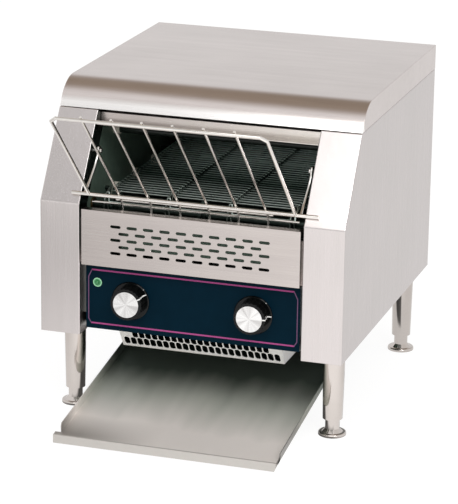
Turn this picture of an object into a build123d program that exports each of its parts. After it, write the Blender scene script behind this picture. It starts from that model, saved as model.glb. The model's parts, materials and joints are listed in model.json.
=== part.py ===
from build123d import *
import math
import os

# Conveyor toaster, millimetres. X runs across the machine, Y from the front to
# the back, Z up, with the soles of the feet at z = 0. While it is being built,
# y = 0 is the foot of the front face; write_nodes() moves the whole machine so
# that the origin lies under the middle of its bounding box.

# ---------------------------------------------------------------- driving sizes
BODY_WIDTH = 368.0          # over the side panels
BODY_DEPTH = 412.0          # front face to rear panel
BODY_BOTTOM = 104.7         # height of the underside
TOTAL_HEIGHT = 392.8        # flat of the top cover
BEND_HEIGHT = 264.5         # where the upright front turns into the slope
SLOPE_ANGLE = 32.9          # lean of the sloped front, from upright
COVER_SKIRT = 30.8          # top face down to the seam under the cover
COVER_RADIUS = 43.5         # roll of the cover's front edge
COVER_OVERHANG = 1.5        # the cover stands out past the rear panel
CHEEK_WIDTH = 49.0          # front face of each side panel
RETURN_DEPTH = 25.0         # cheek folded back beside the opening
SHEET = 1.2                 # housing sheet
THIN_SHEET = 1.0            # duct and reflectors
FLOOR_SHEET = 2.0           # base plates
FLANGE = 14.0               # folded screw flanges
SEAM_GAP = 0.5              # daylight between two panels
FIT = 0.3                   # pieces that lie close but move or lift apart
LOCATING = 0.1              # a piece slipped into its hole
RUNNING = 0.05              # radial play of a shaft in its bush
CUT = 1.0                   # cutters and joined pieces reach this far past a face

# ------------------------------------------------------------------ feed opening
HEADER_DROP = 16.5          # under the cover seam
HEADER_SETBACK = 8.0        # behind the cover seam
HEADER_LIP = 15.0
HEADER_RISE = 12.5          # leaves a dark gap under the cover
HEADER_TURN = 15.0          # top edge folded back
GRILLE_FRONT = 2.0          # the slotted panel stands proud of the cheeks
GRILLE_GAP = 2.5            # each side of the slotted panel
GRILLE_DROP = 5.5           # its top edge under the bend
GRILLE_HEIGHT = 67.0
GRILLE_FLANGE = 11.0
GRILLE_RETURN = 12.0
GRILLE_ROWS = 5
GRILLE_PITCH_X = 20.0
GRILLE_PITCH_Z = 8.0
GRILLE_MARGIN = 36.5        # plain sheet beside the longest rows
GRILLE_SLOT = 12.6
GRILLE_SLOT_HEIGHT = 3.4

# --------------------------------------------------------------- control panel
CONTROL_FACE = 10.0         # set back from the cheeks
CONTROL_GAP = 4.3           # each side
CONTROL_RISE = 6.6          # its lower edge over the underside
CONTROL_TUCK = 2.0          # its upper edge under the slotted panel
CONTROL_FLANGE = 26.0
OVERLAY = 0.5
KNOB_INSET = 55.7           # from the panel's end
KNOB_RISE = 39.0            # over the panel's lower edge
KNOB_SKIRT_RADIUS = 23.0
KNOB_SKIRT = 2.5
KNOB_SKIRT_CHAMFER = 1.0
KNOB_BASE_RADIUS = 17.5
KNOB_TOP_RADIUS = 19.0
KNOB_LENGTH = 17.0
KNOB_FLUTES = 24
KNOB_FLUTE_RADIUS = 1.1
CAP_RADIUS = 15.5
CAP_RECESS = 1.5
CAP_PROUD = 0.8
SPINDLE_RADIUS = 3.0
SPINDLE_PLAY = 1.5
SPINDLE_SOCKET = 6.0        # how deep the switches take the spindles
SWITCH_SIZE = 36.0
SWITCH_DEPTH = 28.0
SPEED_WIDTH = 56.0
SPEED_HEIGHT = 40.0
SPEED_DEPTH = 22.0
LAMP_INSET = 14.7
LAMP_RISE = 57.4
LAMP_RADIUS = 5.5
LAMP_LENS_RADIUS = 4.0
LAMP_DOME_RADIUS = 2.4
LAMP_PROUD = 1.4
LAMP_BARREL = 12.0

# ------------------------------------------------------------ air duct and floor
PAN_FRONT = 34.0
PAN_LIP = 6.3
DUCT_INSET = 34.3           # from the sides of the opening
DUCT_TOP_Y = 37.0
DUCT_FOOT_Y = 55.0
DUCT_DEPTH = 26.7
DUCT_REAR = 175.0
DUCT_HOLE_RADIUS = 3.3
DUCT_HOLE_HEIGHT = 13.4     # upright oblong holes
DUCT_HOLE_PITCH = 8.1
DUCT_LOWER_ROW = 8.9        # the two rows' height over the duct's foot
DUCT_UPPER_ROW = 19.9
DUCT_LOWER_MARGIN = 7.0     # plain sheet past the ends of each row
DUCT_UPPER_MARGIN = 19.0
CHAMBER_FLOOR_DROP = 47.5   # under the belt shafts
CHAMBER_FLOOR_FRONT = 26.0
BAFFLE_HALF = 93.0          # upstand that backs the slots
BAFFLE_RISE = 35.5
CHAMBER_FLOOR_END = 32.0    # in front of the rear shaft
BAY_WALL_LEAN = 26.0

# ----------------------------------------------------------------- toast tray
TRAY_FRONT = -88.0
TRAY_FRONT_Z = 11.0
TRAY_REAR_DROP = 25.4       # under the body, at the tray's rear end
TRAY_REAR_REACH = 13.0      # past the rear shaft
TRAY_GAP = 2.8              # narrower than the feed opening, each side
TRAY_OFFSET = 4.5           # the tray hangs a little to the right
TRAY_SIDE = 11.0
TRAY_RIGHT_SIDE = 7.0       # the right side is folded lower
TRAY_SIDE_SETBACK = 8.0
TRAY_SIDE_RADIUS = 5.0
TRAY_LIP_WING = 7.0         # the front lip past the left side
TRAY_LIP_MITRE = 4.4        # cut off the lip's lower right corner
TRAY_LIP_HEIGHT = 10.0
TRAY_SHEET = 1.2
RUNNER_FRONT = 150.0
RUNNER_LEDGE = 12.0
RUNNER_FLANGE = 10.0
RUNNER_PLAY = 1.2

# ------------------------------------------------------------------- conveyor
BELT_RISE = 5.5             # rod centres of the upper run over the bend
BELT_GAP = 18.0             # each side, to the cheek returns
BELT_RADIUS = 18.0          # rod centres around the sprockets
BELT_ROD_RADIUS = 1.3
BELT_PITCH = 9.5
BELT_TIE_INSET = 4.0        # rod ends past the outer ties
BELT_TIE_THICKNESS = 1.2
BELT_TIE_DEPTH = 1.56
BELT_TIES = 4
FRONT_SHAFT_Y = 48.0
REAR_SHAFT_SETBACK = 82.0   # from the rear panel
SHAFT_RADIUS = 5.0
SHAFT_END = 3.0             # past the bushes
SPROCKET_TEETH = 12
SPROCKET_THICKNESS = 3.0
SPROCKET_TOOTH = 2.6
SPROCKET_HUB = 3.0          # wall of the sprocket hubs
TOOTH_ROOT_SHARE = 0.62     # of half a pitch, at the root and at the tip
TOOTH_TIP_SHARE = 0.28
TOOTH_CLEARANCE = 0.4
BUSH_WALL = 3.0
BUSH_FLANGE_RIM = 3.0
BUSH_FLANGE = 2.0
BUSH_INNER = 2.0            # barrel past the wall, inside the chamber
RAIL_COUNT = 3
RAIL_WIDTH = 3.0
RAIL_HEIGHT = 6.0
RAIL_END = 30.0             # from the shafts
RAIL_BAR_RADIUS = 2.5
RAIL_BAR_INSET = 12.0
RAIL_WELD = 0.5

# --------------------------------------------------------------------- heating
TUBE_RADIUS = 5.0
TUBE_WALL = 1.0
TUBE_SHORT = 1.0            # each end, short of the opening's side
COIL_RADIUS = 2.5
CAP_WALL = 1.4
CAP_FLANGE_RIM = 3.0
CAP_FLANGE = 4.0
CAP_INNER = 6.0             # the end cap's barrel, into the chamber
UPPER_HEATERS = 4
LOWER_HEATERS = 3
HEATER_FROM_SHAFT = 74.0    # first tubes behind the front shaft
UPPER_HEATER_END = 19.0     # last upper tube, in front of the rear shaft
LOWER_HEATER_END = 72.0
UPPER_HEATER_DROP = 23.0    # under the upper reflector
LOWER_HEATER_RISE = 1.0     # over the belt shafts
UPPER_REFLECTOR_DROP = 13.0     # under the cover seam
UPPER_REFLECTOR_END = 27.0  # from the rear panel
UPPER_REFLECTOR_LIP = 8.0
LOWER_REFLECTOR_DROP = 15.0     # under the belt shafts
LOWER_REFLECTOR_END = 35.0  # from the shafts
LOWER_REFLECTOR_LIP = 5.0

# ----------------------------------------------------------------- return chute
CHUTE_SIDE = 9.0            # narrower than the opening, each side
CHUTE_SETBACK = 10.0        # from the rear panel
CHUTE_DROP = 27.0           # its upper edge under the cover seam
CHUTE_KNEE_DROP = 52.0      # its bend under the belt shafts
CHUTE_MOUTH_BACK = 7.0      # its lower edge behind the rear shaft
CHUTE_MOUTH_DROP = 8.7      # its lower edge under the body
CHUTE_BEND = 60.0

# ----------------------------------------------------------------------- drive
CHAIN_OFFSET = 6.8          # middle of the chain, outside the right inner wall
CHAIN_WIDTH = 4.0
CHAIN_THICKNESS = 3.0
DRIVEN_RADIUS = 20.0
DRIVEN_TEETH = 20
MOTOR_SPROCKET_RADIUS = 14.0
MOTOR_SPROCKET_TEETH = 14
CHAIN_TOOTH = 2.2
MOTOR_DROP = 82.0           # motor shaft under the drive shaft
MOTOR_RADIUS = 29.0
MOTOR_LENGTH = 27.0
MOTOR_PLATE = 72.0
MOTOR_PLATE_THICKNESS = 2.0
MOTOR_PLATE_OFFSET = 5.0    # from the middle of the chain
MOTOR_SHAFT_RADIUS = 3.5
MOTOR_SHAFT_PLAY = 2.0
MOTOR_SOCKET = 8.0
STANDOFF_RADIUS = 3.5
STANDOFF_SPREAD = 30.0

# ------------------------------------------------------------------ cooling fan
FAN_SETBACK = 53.0          # fan centre in front of the duct's rear end
FAN_SIZE = 80.0
FAN_DEPTH = 25.0
FAN_BORE = 38.0
FAN_TIP_GAP = 1.5
FAN_HUB_RADIUS = 15.0
FAN_BLADES = 7
FAN_BLADE = 1.6
FAN_BLADE_ANGLE = 38.0
FAN_BLADE_INSET = 1.0       # from the hub's ends
FAN_STRUTS = 4
FAN_STRUT = 3.0
FAN_HUB_GAP = 1.0
FAN_PIN_RADIUS = 2.0
INLET_RINGS = 3
INLET_FIRST_RING = 6        # holes in the innermost ring
INLET_HOLE_RADIUS = 3.0
INLET_RING_PITCH = 10.5

# ------------------------------------------------------------------ feed rack
RACK_LEAN = 45.7            # from upright, towards the user
RACK_LENGTH = 171.5         # main rod to top rod
RACK_MAIN_RADIUS = 2.25
RACK_FRAME_RADIUS = 2.0
RACK_WIRE_RADIUS = 1.5
RACK_CROSS_RADIUS = 1.52    # the two cross wires under the bread wires
RACK_MAIN_OVERLAP = 13.5    # main rod on each cheek
RACK_MAIN_SHIFT = 2.8       # main rod to the right of centre
RACK_MAIN_RISE = 11.5       # main rod over the bend
RACK_TOP_SHORT = 10.5       # frame inside the opening, each side
RACK_CORNER = 7.0
RACK_WIRE_PITCH = 35.4
RACK_WIRE_MARGIN = 30.0     # frame to the outer wires
RACK_TIP = 1.5
RACK_TAIL = 12.0            # straight run of the wires below the main rod
RACK_TUCK = 6.3             # next run, turned down behind the slotted panel
RACK_TUCK_LEAN = 2.8
RACK_DROP = 12.0
RACK_DROP_LEAN = 1.0
RACK_SECOND_SHORT = 40.0
RACK_THIRD_SHORT = 9.5
RACK_WELD = 0.5
ARM_GAP = 5.0               # rack arm to the cheek return
ARM_LOW_RISE = 22.5         # the arm's two bends, over the bend of the front
ARM_LOW_DEPTH = 5.4         # and behind its slope
ARM_HIGH_RISE = 35.5
ARM_HIGH_DEPTH = 13.0
HOOK_RISE = 51.5            # hook centre over the bend
HOOK_DEPTH = 17.6           # hook centre behind the slope
HOOK_STEPS = 6
STUD_RADIUS = 2.2
STUD_HEAD_RIM = 0.8
STUD_HEAD = 1.5

# ------------------------------------------------------------------ legs and feet
LEG_INSET = 23.2            # from the body's side
LEG_FRONT_Y = 52.9
LEG_REAR_SETBACK = 35.2
LEG_TOP_RADIUS = 13.2
LEG_FOOT_RADIUS = 11.7
LEG_LOWER_END = 20.0
LEG_STUD_RADIUS = 4.0
LEG_STUD_RISE = 9.0
LEG_BORE_DEPTH = 34.0
FOOT_FLANGE_RADIUS = 16.5
FOOT_FLANGE = 4.0
FOOT_EDGE = 2.0             # rounding of the flange
FOOT_DOME_RADIUS = 12.4
FOOT_DOME = 8.0
FOOT_COLLAR_RADIUS = 8.5
FOOT_STEM_RADIUS = 5.0
FOOT_STEM_RISE = 28.0
NUT_WALL = 3.5
NUT_HEIGHT = 6.5

# ------------------------------------------------------------- rear and fasteners
VENT_ROWS = 4
VENT_COLUMNS = 6
VENT_PITCH_X = 26.0
VENT_PITCH_Z = 12.0
VENT_SLOT = 18.0
VENT_HEIGHT = 4.0
VENT_RISE = 55.0            # middle of the vents over the underside
GLAND_INSET = 26.0
GLAND_RISE = 30.0
GLAND_RADIUS = 8.0
GLAND_NUT_RADIUS = 12.0
GLAND_NUT = 6.0
GLAND_TAIL = 14.0
GLAND_BORE = 4.5
SCREWS_PER_SIDE = 4
SCREW_RADIUS = 2.0
SCREW_HEAD_RADIUS = 4.0
SCREW_HEAD = 2.2
SCREW_LENGTH = 6.0
TERMINAL_WIDTH = 14.0
TERMINAL_LENGTH = 60.0
TERMINAL_HEIGHT = 24.0
TERMINAL_RISE = 20.0
TERMINAL_SETBACK = 112.0
TERMINAL_WAYS = 4
TERMINAL_HOLE_RADIUS = 3.0
TERMINAL_HOLE = 5.0
CUTOUT_RADIUS = 9.0
CUTOUT_LENGTH = 12.0
CUTOUT_SETBACK = 195.0
CUTOUT_DROP = 26.0          # under the upper tubes

# ---------------------------------------------------------------- derived places
HALF = BODY_WIDTH / 2
OPENING_HALF = HALF - CHEEK_WIDTH
WALL_INNER = OPENING_HALF + SHEET + FIT
WALL_OUTER = WALL_INNER + SHEET
SPAN_HALF = WALL_INNER - FIT
SLOPE_TAN = math.tan(math.radians(SLOPE_ANGLE))
SLOPE_COS = math.cos(math.radians(SLOPE_ANGLE))
SLOPE_SIN = math.sin(math.radians(SLOPE_ANGLE))
SEAM_HEIGHT = TOTAL_HEIGHT - COVER_SKIRT
SEAM_Y = (SEAM_HEIGHT - BEND_HEIGHT) * SLOPE_TAN
COVER_BOTTOM = SEAM_HEIGHT + SEAM_GAP
FLOOR_TOP = BODY_BOTTOM + FLOOR_SHEET
HEADER_BOTTOM = SEAM_HEIGHT - HEADER_DROP
HEADER_BACK = SEAM_Y + HEADER_SETBACK
GRILLE_HALF = OPENING_HALF - GRILLE_GAP
GRILLE_TOP = BEND_HEIGHT - GRILLE_DROP
GRILLE_BOTTOM = GRILLE_TOP - GRILLE_HEIGHT
CONTROL_HALF = OPENING_HALF - CONTROL_GAP
CONTROL_BOTTOM = BODY_BOTTOM + CONTROL_RISE
CONTROL_TOP = GRILLE_BOTTOM - CONTROL_TUCK
CONTROL_BACK = CONTROL_FACE + OVERLAY + SHEET
KNOB_X = CONTROL_HALF - KNOB_INSET
KNOB_Z = CONTROL_BOTTOM + KNOB_RISE
KNOB_BACK = CONTROL_FACE - FIT
KNOB_FRONT = KNOB_BACK - KNOB_LENGTH
LAMP_X = LAMP_INSET - CONTROL_HALF
LAMP_Z = CONTROL_BOTTOM + LAMP_RISE
REAR_SHAFT_Y = BODY_DEPTH - REAR_SHAFT_SETBACK
BELT_TOP = BEND_HEIGHT + BELT_RISE
BELT_HALF = OPENING_HALF - BELT_GAP
BELT_TIE_PITCH = 2 * (BELT_HALF - BELT_TIE_INSET) / (BELT_TIES - 1)
SHAFT_Z = BELT_TOP - BELT_RADIUS
BUSH_RADIUS = SHAFT_RADIUS + BUSH_WALL
SHAFT_REACH = WALL_OUTER + BUSH_FLANGE + SHAFT_END
DUCT_HALF = OPENING_HALF - DUCT_INSET
DUCT_BOTTOM = BODY_BOTTOM - DUCT_DEPTH
CHAMBER_FLOOR_Z = SHAFT_Z - CHAMBER_FLOOR_DROP
CHAMBER_FLOOR_REAR = REAR_SHAFT_Y - CHAMBER_FLOOR_END
PAN_REAR = CHAMBER_FLOOR_REAR - BAY_WALL_LEAN
TRAY_HALF = OPENING_HALF - TRAY_GAP
TRAY_REAR = REAR_SHAFT_Y + TRAY_REAR_REACH
TRAY_TAN = (BODY_BOTTOM - TRAY_REAR_DROP - TRAY_FRONT_Z) / (TRAY_REAR - TRAY_FRONT)
TRAY_TILT = math.degrees(math.atan(TRAY_TAN))
TRAY_COS = math.cos(math.atan(TRAY_TAN))
TUBE_END = OPENING_HALF - TUBE_SHORT
CAP_BARREL_RADIUS = TUBE_RADIUS + LOCATING + CAP_WALL
UPPER_REFLECTOR_Z = SEAM_HEIGHT - UPPER_REFLECTOR_DROP
LOWER_REFLECTOR_Z = SHAFT_Z - LOWER_REFLECTOR_DROP
UPPER_HEATER_Z = UPPER_REFLECTOR_Z - UPPER_HEATER_DROP
LOWER_HEATER_Z = SHAFT_Z + LOWER_HEATER_RISE
CHUTE_HALF = OPENING_HALF - CHUTE_SIDE
CHUTE_BACK = BODY_DEPTH - CHUTE_SETBACK
CHUTE_TOP = SEAM_HEIGHT - CHUTE_DROP
CHUTE_KNEE = SHAFT_Z - CHUTE_KNEE_DROP
CHAIN_X = WALL_OUTER + CHAIN_OFFSET
MOTOR_PLATE_X = CHAIN_X + MOTOR_PLATE_OFFSET
MOTOR_Z = SHAFT_Z - MOTOR_DROP
FAN_Y = DUCT_REAR - FAN_SETBACK
RACK_COS = math.cos(math.radians(RACK_LEAN))
RACK_SIN = math.sin(math.radians(RACK_LEAN))
RACK_MAIN_HALF = OPENING_HALF + RACK_MAIN_OVERLAP
RACK_TOP_HALF = OPENING_HALF - RACK_TOP_SHORT
RACK_LIFT = RACK_MAIN_RADIUS + RACK_WIRE_RADIUS - RACK_WELD
ARM_X = OPENING_HALF - ARM_GAP
HOOK_Z = BEND_HEIGHT + HOOK_RISE
HOOK_Y = HOOK_RISE * SLOPE_TAN + HOOK_DEPTH
LEG_X = HALF - LEG_INSET
LEG_REAR_Y = BODY_DEPTH - LEG_REAR_SETBACK
GLAND_X = GLAND_INSET - HALF
GLAND_Z = BODY_BOTTOM + GLAND_RISE
GLAND_END = BODY_DEPTH + GLAND_NUT
TERMINAL_Y = BODY_DEPTH - TERMINAL_SETBACK

nodes = {}


# ------------------------------------------------------------------ small helpers
def box(x0, x1, y0, y1, z0, z1):
    """Block between two corners."""
    middle = Pos((x0 + x1) / 2, (y0 + y1) / 2, (z0 + z1) / 2)
    return middle * Box(x1 - x0, y1 - y0, z1 - z0)


def rod(start, end, radius):
    """Round bar from one point to another."""
    start, end = Vector(*start), Vector(*end)
    axis = end - start
    bottom = (Align.CENTER, Align.CENTER, Align.MIN)
    return Plane(origin=start, z_dir=axis) * Cylinder(radius, axis.length, align=bottom)


def rod_x(x0, x1, y, z, radius):
    """Round bar along X."""
    return rod((x0, y, z), (x1, y, z), radius)


def rod_y(y0, y1, x, z, radius):
    """Round bar along Y."""
    return rod((x, y0, z), (x, y1, z), radius)


def rod_z(z0, z1, x, y, radius):
    """Round bar along Z."""
    return rod((x, y, z0), (x, y, z1), radius)


def slab(points, x0, x1):
    """Side-view outline of (y, z) points, extruded from x0 to x1."""
    outline = make_face(Polyline(*points, close=True))
    return extrude(Plane.YZ.offset(x0) * outline, x1 - x0)


def bent_sheet(points, thickness, x0, x1, radius=0.0):
    """Sheet folded along a side-view line, its thickness on the line's left."""
    line = FilletPolyline(*points, radius=radius) if radius else Polyline(*points)
    wire = Wire(line.edges())
    closed = wire.offset_2d(thickness, kind=Kind.INTERSECTION, side=Side.LEFT, closed=True)
    return extrude(Plane.YZ.offset(x0) * make_face(closed.edges()), x1 - x0)


def group(pieces):
    """Separate solids kept in one node."""
    return Compound([solid for piece in pieces for solid in piece.solids()])


def flipped(piece):
    """The same piece for the other side of the machine."""
    return mirror(piece, about=Plane.YZ)


def evenly(count, pitch, middle=0.0):
    """Places of a row of things, spread about its middle."""
    return [middle + (index - (count - 1) / 2) * pitch for index in range(count)]


def front_y(height, depth=0.0):
    """How far back a surface lies that is so deep behind the front face."""
    bend = BEND_HEIGHT - depth * math.tan(math.radians(SLOPE_ANGLE) / 2)
    return depth + max(0.0, height - bend) * SLOPE_TAN


def front_line(depth, bottom, top):
    """The front's outline in side view, so deep behind its face."""
    bend = BEND_HEIGHT - depth * math.tan(math.radians(SLOPE_ANGLE) / 2)
    return [(depth, bottom), (depth, bend), (front_y(top, depth), top)]


def tray_z(y):
    """Height of the tray's upper surface."""
    return TRAY_FRONT_Z + (y - TRAY_FRONT) * TRAY_TAN


def fitting(half_span, margin, pitch):
    """How many things at that pitch fit a span, less a margin at each end."""
    return int(2 * (half_span - margin) / pitch) + 1


def shaft_places():
    """The two belt shafts, front to rear."""
    return [FRONT_SHAFT_Y, REAR_SHAFT_Y]


def heater_places():
    """Every heater's (y, z), spread evenly between its end places."""
    first = FRONT_SHAFT_Y + HEATER_FROM_SHAFT
    places = []
    for count, end, z in (
        (UPPER_HEATERS, UPPER_HEATER_END, UPPER_HEATER_Z),
        (LOWER_HEATERS, LOWER_HEATER_END, LOWER_HEATER_Z),
    ):
        pitch = (REAR_SHAFT_Y - end - first) / (count - 1)
        places += [(first + index * pitch, z) for index in range(count)]
    return places


def screw(x, y, z, direction):
    """Pan-head screw whose head seats at the point and faces the direction."""
    shank_end = (-SCREW_LENGTH) * Vector(*direction)
    head = rod((0, 0, 0), SCREW_HEAD * Vector(*direction), SCREW_HEAD_RADIUS)
    return Pos(x, y, z) * (head + rod((0, 0, 0), shank_end, SCREW_RADIUS))


def toothed_disc(tip_radius, tooth_height, teeth, thickness):
    """Sprocket blank about Z, with straight-sided teeth."""
    root = tip_radius - tooth_height
    half_root = math.pi / teeth * TOOTH_ROOT_SHARE
    half_tip = math.pi / teeth * TOOTH_TIP_SHARE
    outline = []
    for index in range(teeth):
        middle = 2 * math.pi * index / teeth
        for radius, angle in (
            (root, middle - half_root),
            (tip_radius, middle - half_tip),
            (tip_radius, middle + half_tip),
            (root, middle + half_root),
        ):
            outline.append((radius * math.cos(angle), radius * math.sin(angle)))
    face = make_face(Polyline(*outline, close=True))
    return Pos(0, 0, -thickness / 2) * extrude(face, thickness)


def across(piece, x, y, z):
    """Turn a piece made about Z so that its axis runs along X, and place it."""
    return Pos(x, y, z) * Rot(0, 90, 0) * piece


# ------------------------------------------------------------------------ housing
def top_cover():
    """Rolled-front lid with skirts on all sides."""
    centre_z = TOTAL_HEIGHT - COVER_RADIUS
    centre_y = front_y(centre_z) + COVER_RADIUS / SLOPE_COS
    back = BODY_DEPTH + COVER_OVERHANG

    def lid(depth, half, bottom, back_y):
        radius = COVER_RADIUS - depth
        tangent = (centre_y - radius * SLOPE_COS, centre_z + radius * SLOPE_SIN)
        turn = math.radians(45 + SLOPE_ANGLE / 2)
        middle = (centre_y - radius * math.cos(turn), centre_z + radius * math.sin(turn))
        start = (front_y(bottom) + depth / SLOPE_COS, bottom)
        crown = (centre_y, centre_z + radius)
        edges = [
            Line(start, tangent),
            ThreePointArc(tangent, middle, crown),
            Line(crown, (back_y, crown[1])),
            Line((back_y, crown[1]), (back_y, bottom)),
            Line((back_y, bottom), start),
        ]
        return extrude(Plane.YZ.offset(-half) * make_face(edges), 2 * half)

    outer = lid(0.0, HALF, COVER_BOTTOM, back)
    hollow = lid(SHEET, HALF - SHEET, COVER_BOTTOM - SHEET, back - SHEET)
    nodes["top_cover"] = outer - hollow


def side_panel():
    """Right side: outer sheet, cheek, return beside the opening and flanges."""
    outline = front_line(0.0, BODY_BOTTOM, SEAM_HEIGHT)
    outline += [(BODY_DEPTH, SEAM_HEIGHT), (BODY_DEPTH, BODY_BOTTOM)]
    behind = front_line(SHEET, BODY_BOTTOM - SHEET, SEAM_HEIGHT + SHEET)
    behind += [(BODY_DEPTH + SHEET, SEAM_HEIGHT + SHEET), (BODY_DEPTH + SHEET, BODY_BOTTOM - SHEET)]
    panel = slab(outline, HALF - SHEET, HALF)
    cheek = slab(outline, OPENING_HALF, HALF) - slab(behind, OPENING_HALF - SHEET, HALF + SHEET)
    turned = front_line(0.0, BODY_BOTTOM, SEAM_HEIGHT)
    turned += reversed(front_line(RETURN_DEPTH, BODY_BOTTOM, SEAM_HEIGHT))
    edge = slab(turned, OPENING_HALF, OPENING_HALF + SHEET)
    inner_rear = BODY_DEPTH - SHEET
    top = box(HALF - FLANGE, HALF, SEAM_Y + SHEET / 2, inner_rear,
              SEAM_HEIGHT - SHEET, SEAM_HEIGHT)
    rear = box(HALF - FLANGE, HALF, inner_rear - SHEET, inner_rear, BODY_BOTTOM, SEAM_HEIGHT)
    foot = box(HALF - FLANGE, HALF, SHEET, inner_rear, FLOOR_TOP, FLOOR_TOP + SHEET)
    return panel + cheek + edge + top + rear + foot


def side_panels():
    right = side_panel()
    nodes["right_side_panel"] = right
    nodes["left_side_panel"] = flipped(right)


def rear_screw_places():
    """Screws down each side of the rear panel."""
    span = SEAM_HEIGHT - BODY_BOTTOM - 2 * FLANGE
    middle = (SEAM_HEIGHT + BODY_BOTTOM) / 2
    heights = evenly(SCREWS_PER_SIDE, span / (SCREWS_PER_SIDE - 1), middle)
    return [(side * (HALF - FLANGE / 2), z) for side in (-1, 1) for z in heights]


def rear_panel():
    """Flat back with a field of vent slots and the cable entry."""
    half = HALF - SHEET - FIT
    panel = box(-half, half, BODY_DEPTH - SHEET, BODY_DEPTH, BODY_BOTTOM + FIT, SEAM_HEIGHT - FIT)
    vents = []
    for x in evenly(VENT_COLUMNS, VENT_PITCH_X):
        for z in evenly(VENT_ROWS, VENT_PITCH_Z, BODY_BOTTOM + VENT_RISE):
            slot = SlotOverall(VENT_SLOT, VENT_HEIGHT)
            vents.append(Pos(x, BODY_DEPTH, z) * Rot(90, 0, 0) * extrude(slot, SHEET * 2, both=True))
    entry = rod_y(BODY_DEPTH - 2 * SHEET, BODY_DEPTH + SHEET, GLAND_X, GLAND_Z, GLAND_RADIUS + LOCATING)
    bores = [
        rod_y(BODY_DEPTH - 2 * SHEET, BODY_DEPTH + SHEET, x, z, SCREW_RADIUS + LOCATING)
        for x, z in rear_screw_places()
    ]
    nodes["rear_panel"] = panel - vents - entry - bores
    for name in ("right_side_panel", "left_side_panel"):
        nodes[name] = nodes[name] - bores
    nodes["rear_panel_screws"] = group(
        [screw(x, BODY_DEPTH, z, (0, 1, 0)) for x, z in rear_screw_places()]
    )


def base_plates():
    """Two compartment floors and the pan between them, over the air duct."""
    rail = box(WALL_INNER, HALF - SHEET - FIT, SHEET + FIT, BODY_DEPTH - 2 * SHEET - FIT,
               BODY_BOTTOM, FLOOR_TOP)
    for y in (LEG_FRONT_Y, LEG_REAR_Y):
        rail -= rod_z(BODY_BOTTOM - CUT, FLOOR_TOP + CUT, LEG_X, y, LEG_STUD_RADIUS + LOCATING)
    nodes["base_rails"] = group([rail, flipped(rail)])

    pan = box(-SPAN_HALF, SPAN_HALF, PAN_FRONT, PAN_REAR, BODY_BOTTOM, FLOOR_TOP)
    pan += box(-SPAN_HALF, SPAN_HALF, PAN_FRONT, PAN_FRONT + SHEET, BODY_BOTTOM, BODY_BOTTOM + PAN_LIP)
    holes = []
    for ring in range(INLET_RINGS):
        radius = (ring + 1) * INLET_RING_PITCH
        count = INLET_FIRST_RING * (ring + 1)
        for index in range(count):
            angle = 2 * math.pi * index / count
            x = radius * math.cos(angle)
            y = FAN_Y + radius * math.sin(angle)
            holes.append(rod_z(BODY_BOTTOM - CUT, FLOOR_TOP + CUT, x, y, INLET_HOLE_RADIUS))
    nodes["base_pan"] = pan - holes


def inner_walls():
    """Upright sheets that close the toasting chamber and carry its shafts."""
    rear = BODY_DEPTH - 2 * SHEET - FIT
    top = SEAM_HEIGHT - SHEET
    outline = front_line(SHEET + FIT, FLOOR_TOP, top) + [(rear, top), (rear, FLOOR_TOP)]
    wall = slab(outline, WALL_INNER, WALL_OUTER)
    reach = (WALL_INNER - CUT, WALL_OUTER + CUT)
    for y in shaft_places():
        wall -= rod_x(*reach, y, SHAFT_Z, BUSH_RADIUS + LOCATING)
    for y, z in heater_places():
        wall -= rod_x(*reach, y, z, CAP_BARREL_RADIUS + LOCATING)
    nodes["left_inner_wall"] = flipped(wall)
    nodes["right_inner_wall"] = wall


def header_strip():
    """Folded strip above the feed opening: lip, face and an edge turned back."""
    half = OPENING_HALF - FIT
    lip = box(-half, half, HEADER_BACK - HEADER_LIP, HEADER_BACK + SHEET,
              HEADER_BOTTOM, HEADER_BOTTOM + SHEET)
    top = HEADER_BOTTOM + HEADER_RISE
    face = box(-half, half, HEADER_BACK, HEADER_BACK + SHEET, HEADER_BOTTOM, top)
    turn = box(-half, half, HEADER_BACK, HEADER_BACK + HEADER_TURN, top - SHEET, top)
    nodes["header_strip"] = lip + face + turn


def slotted_panel():
    """Vented front panel below the feed opening."""
    face_y = -GRILLE_FRONT
    half = GRILLE_HALF
    panel = box(-half, half, face_y, face_y + SHEET, GRILLE_BOTTOM, GRILLE_TOP)
    panel += box(-half, half, face_y, face_y + GRILLE_FLANGE, GRILLE_TOP - SHEET, GRILLE_TOP)
    for side in (-1, 1):
        outer = side * half
        inner = side * (half - SHEET)
        tab = side * (OPENING_HALF - LOCATING)
        side_y = face_y + GRILLE_RETURN
        panel += box(min(outer, inner), max(outer, inner), face_y, side_y, GRILLE_BOTTOM, GRILLE_TOP)
        panel += box(min(inner, tab), max(inner, tab), side_y - SHEET, side_y,
                     GRILLE_BOTTOM, GRILLE_TOP - FLANGE)
    slots = []
    for row, z in enumerate(evenly(GRILLE_ROWS, GRILLE_PITCH_Z, (GRILLE_TOP + GRILLE_BOTTOM) / 2)):
        count = fitting(half, GRILLE_MARGIN, GRILLE_PITCH_X) - row % 2
        for x in evenly(count, GRILLE_PITCH_X):
            slot = SlotOverall(GRILLE_SLOT, GRILLE_SLOT_HEIGHT)
            slots.append(Pos(x, face_y, z) * Rot(90, 0, 0) * extrude(slot, SHEET * 2, both=True))
    nodes["slotted_front_panel"] = panel - slots


# ----------------------------------------------------------------- control panel
def panel_bores():
    """Holes for the two spindles and the lamp."""
    depth = (CONTROL_FACE - CUT, CONTROL_BACK + CUT)
    bores = [rod_y(*depth, side * KNOB_X, KNOB_Z, SPINDLE_RADIUS + SPINDLE_PLAY) for side in (-1, 1)]
    bores.append(rod_y(*depth, LAMP_X, LAMP_Z, LAMP_LENS_RADIUS + LOCATING))
    return bores


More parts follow.
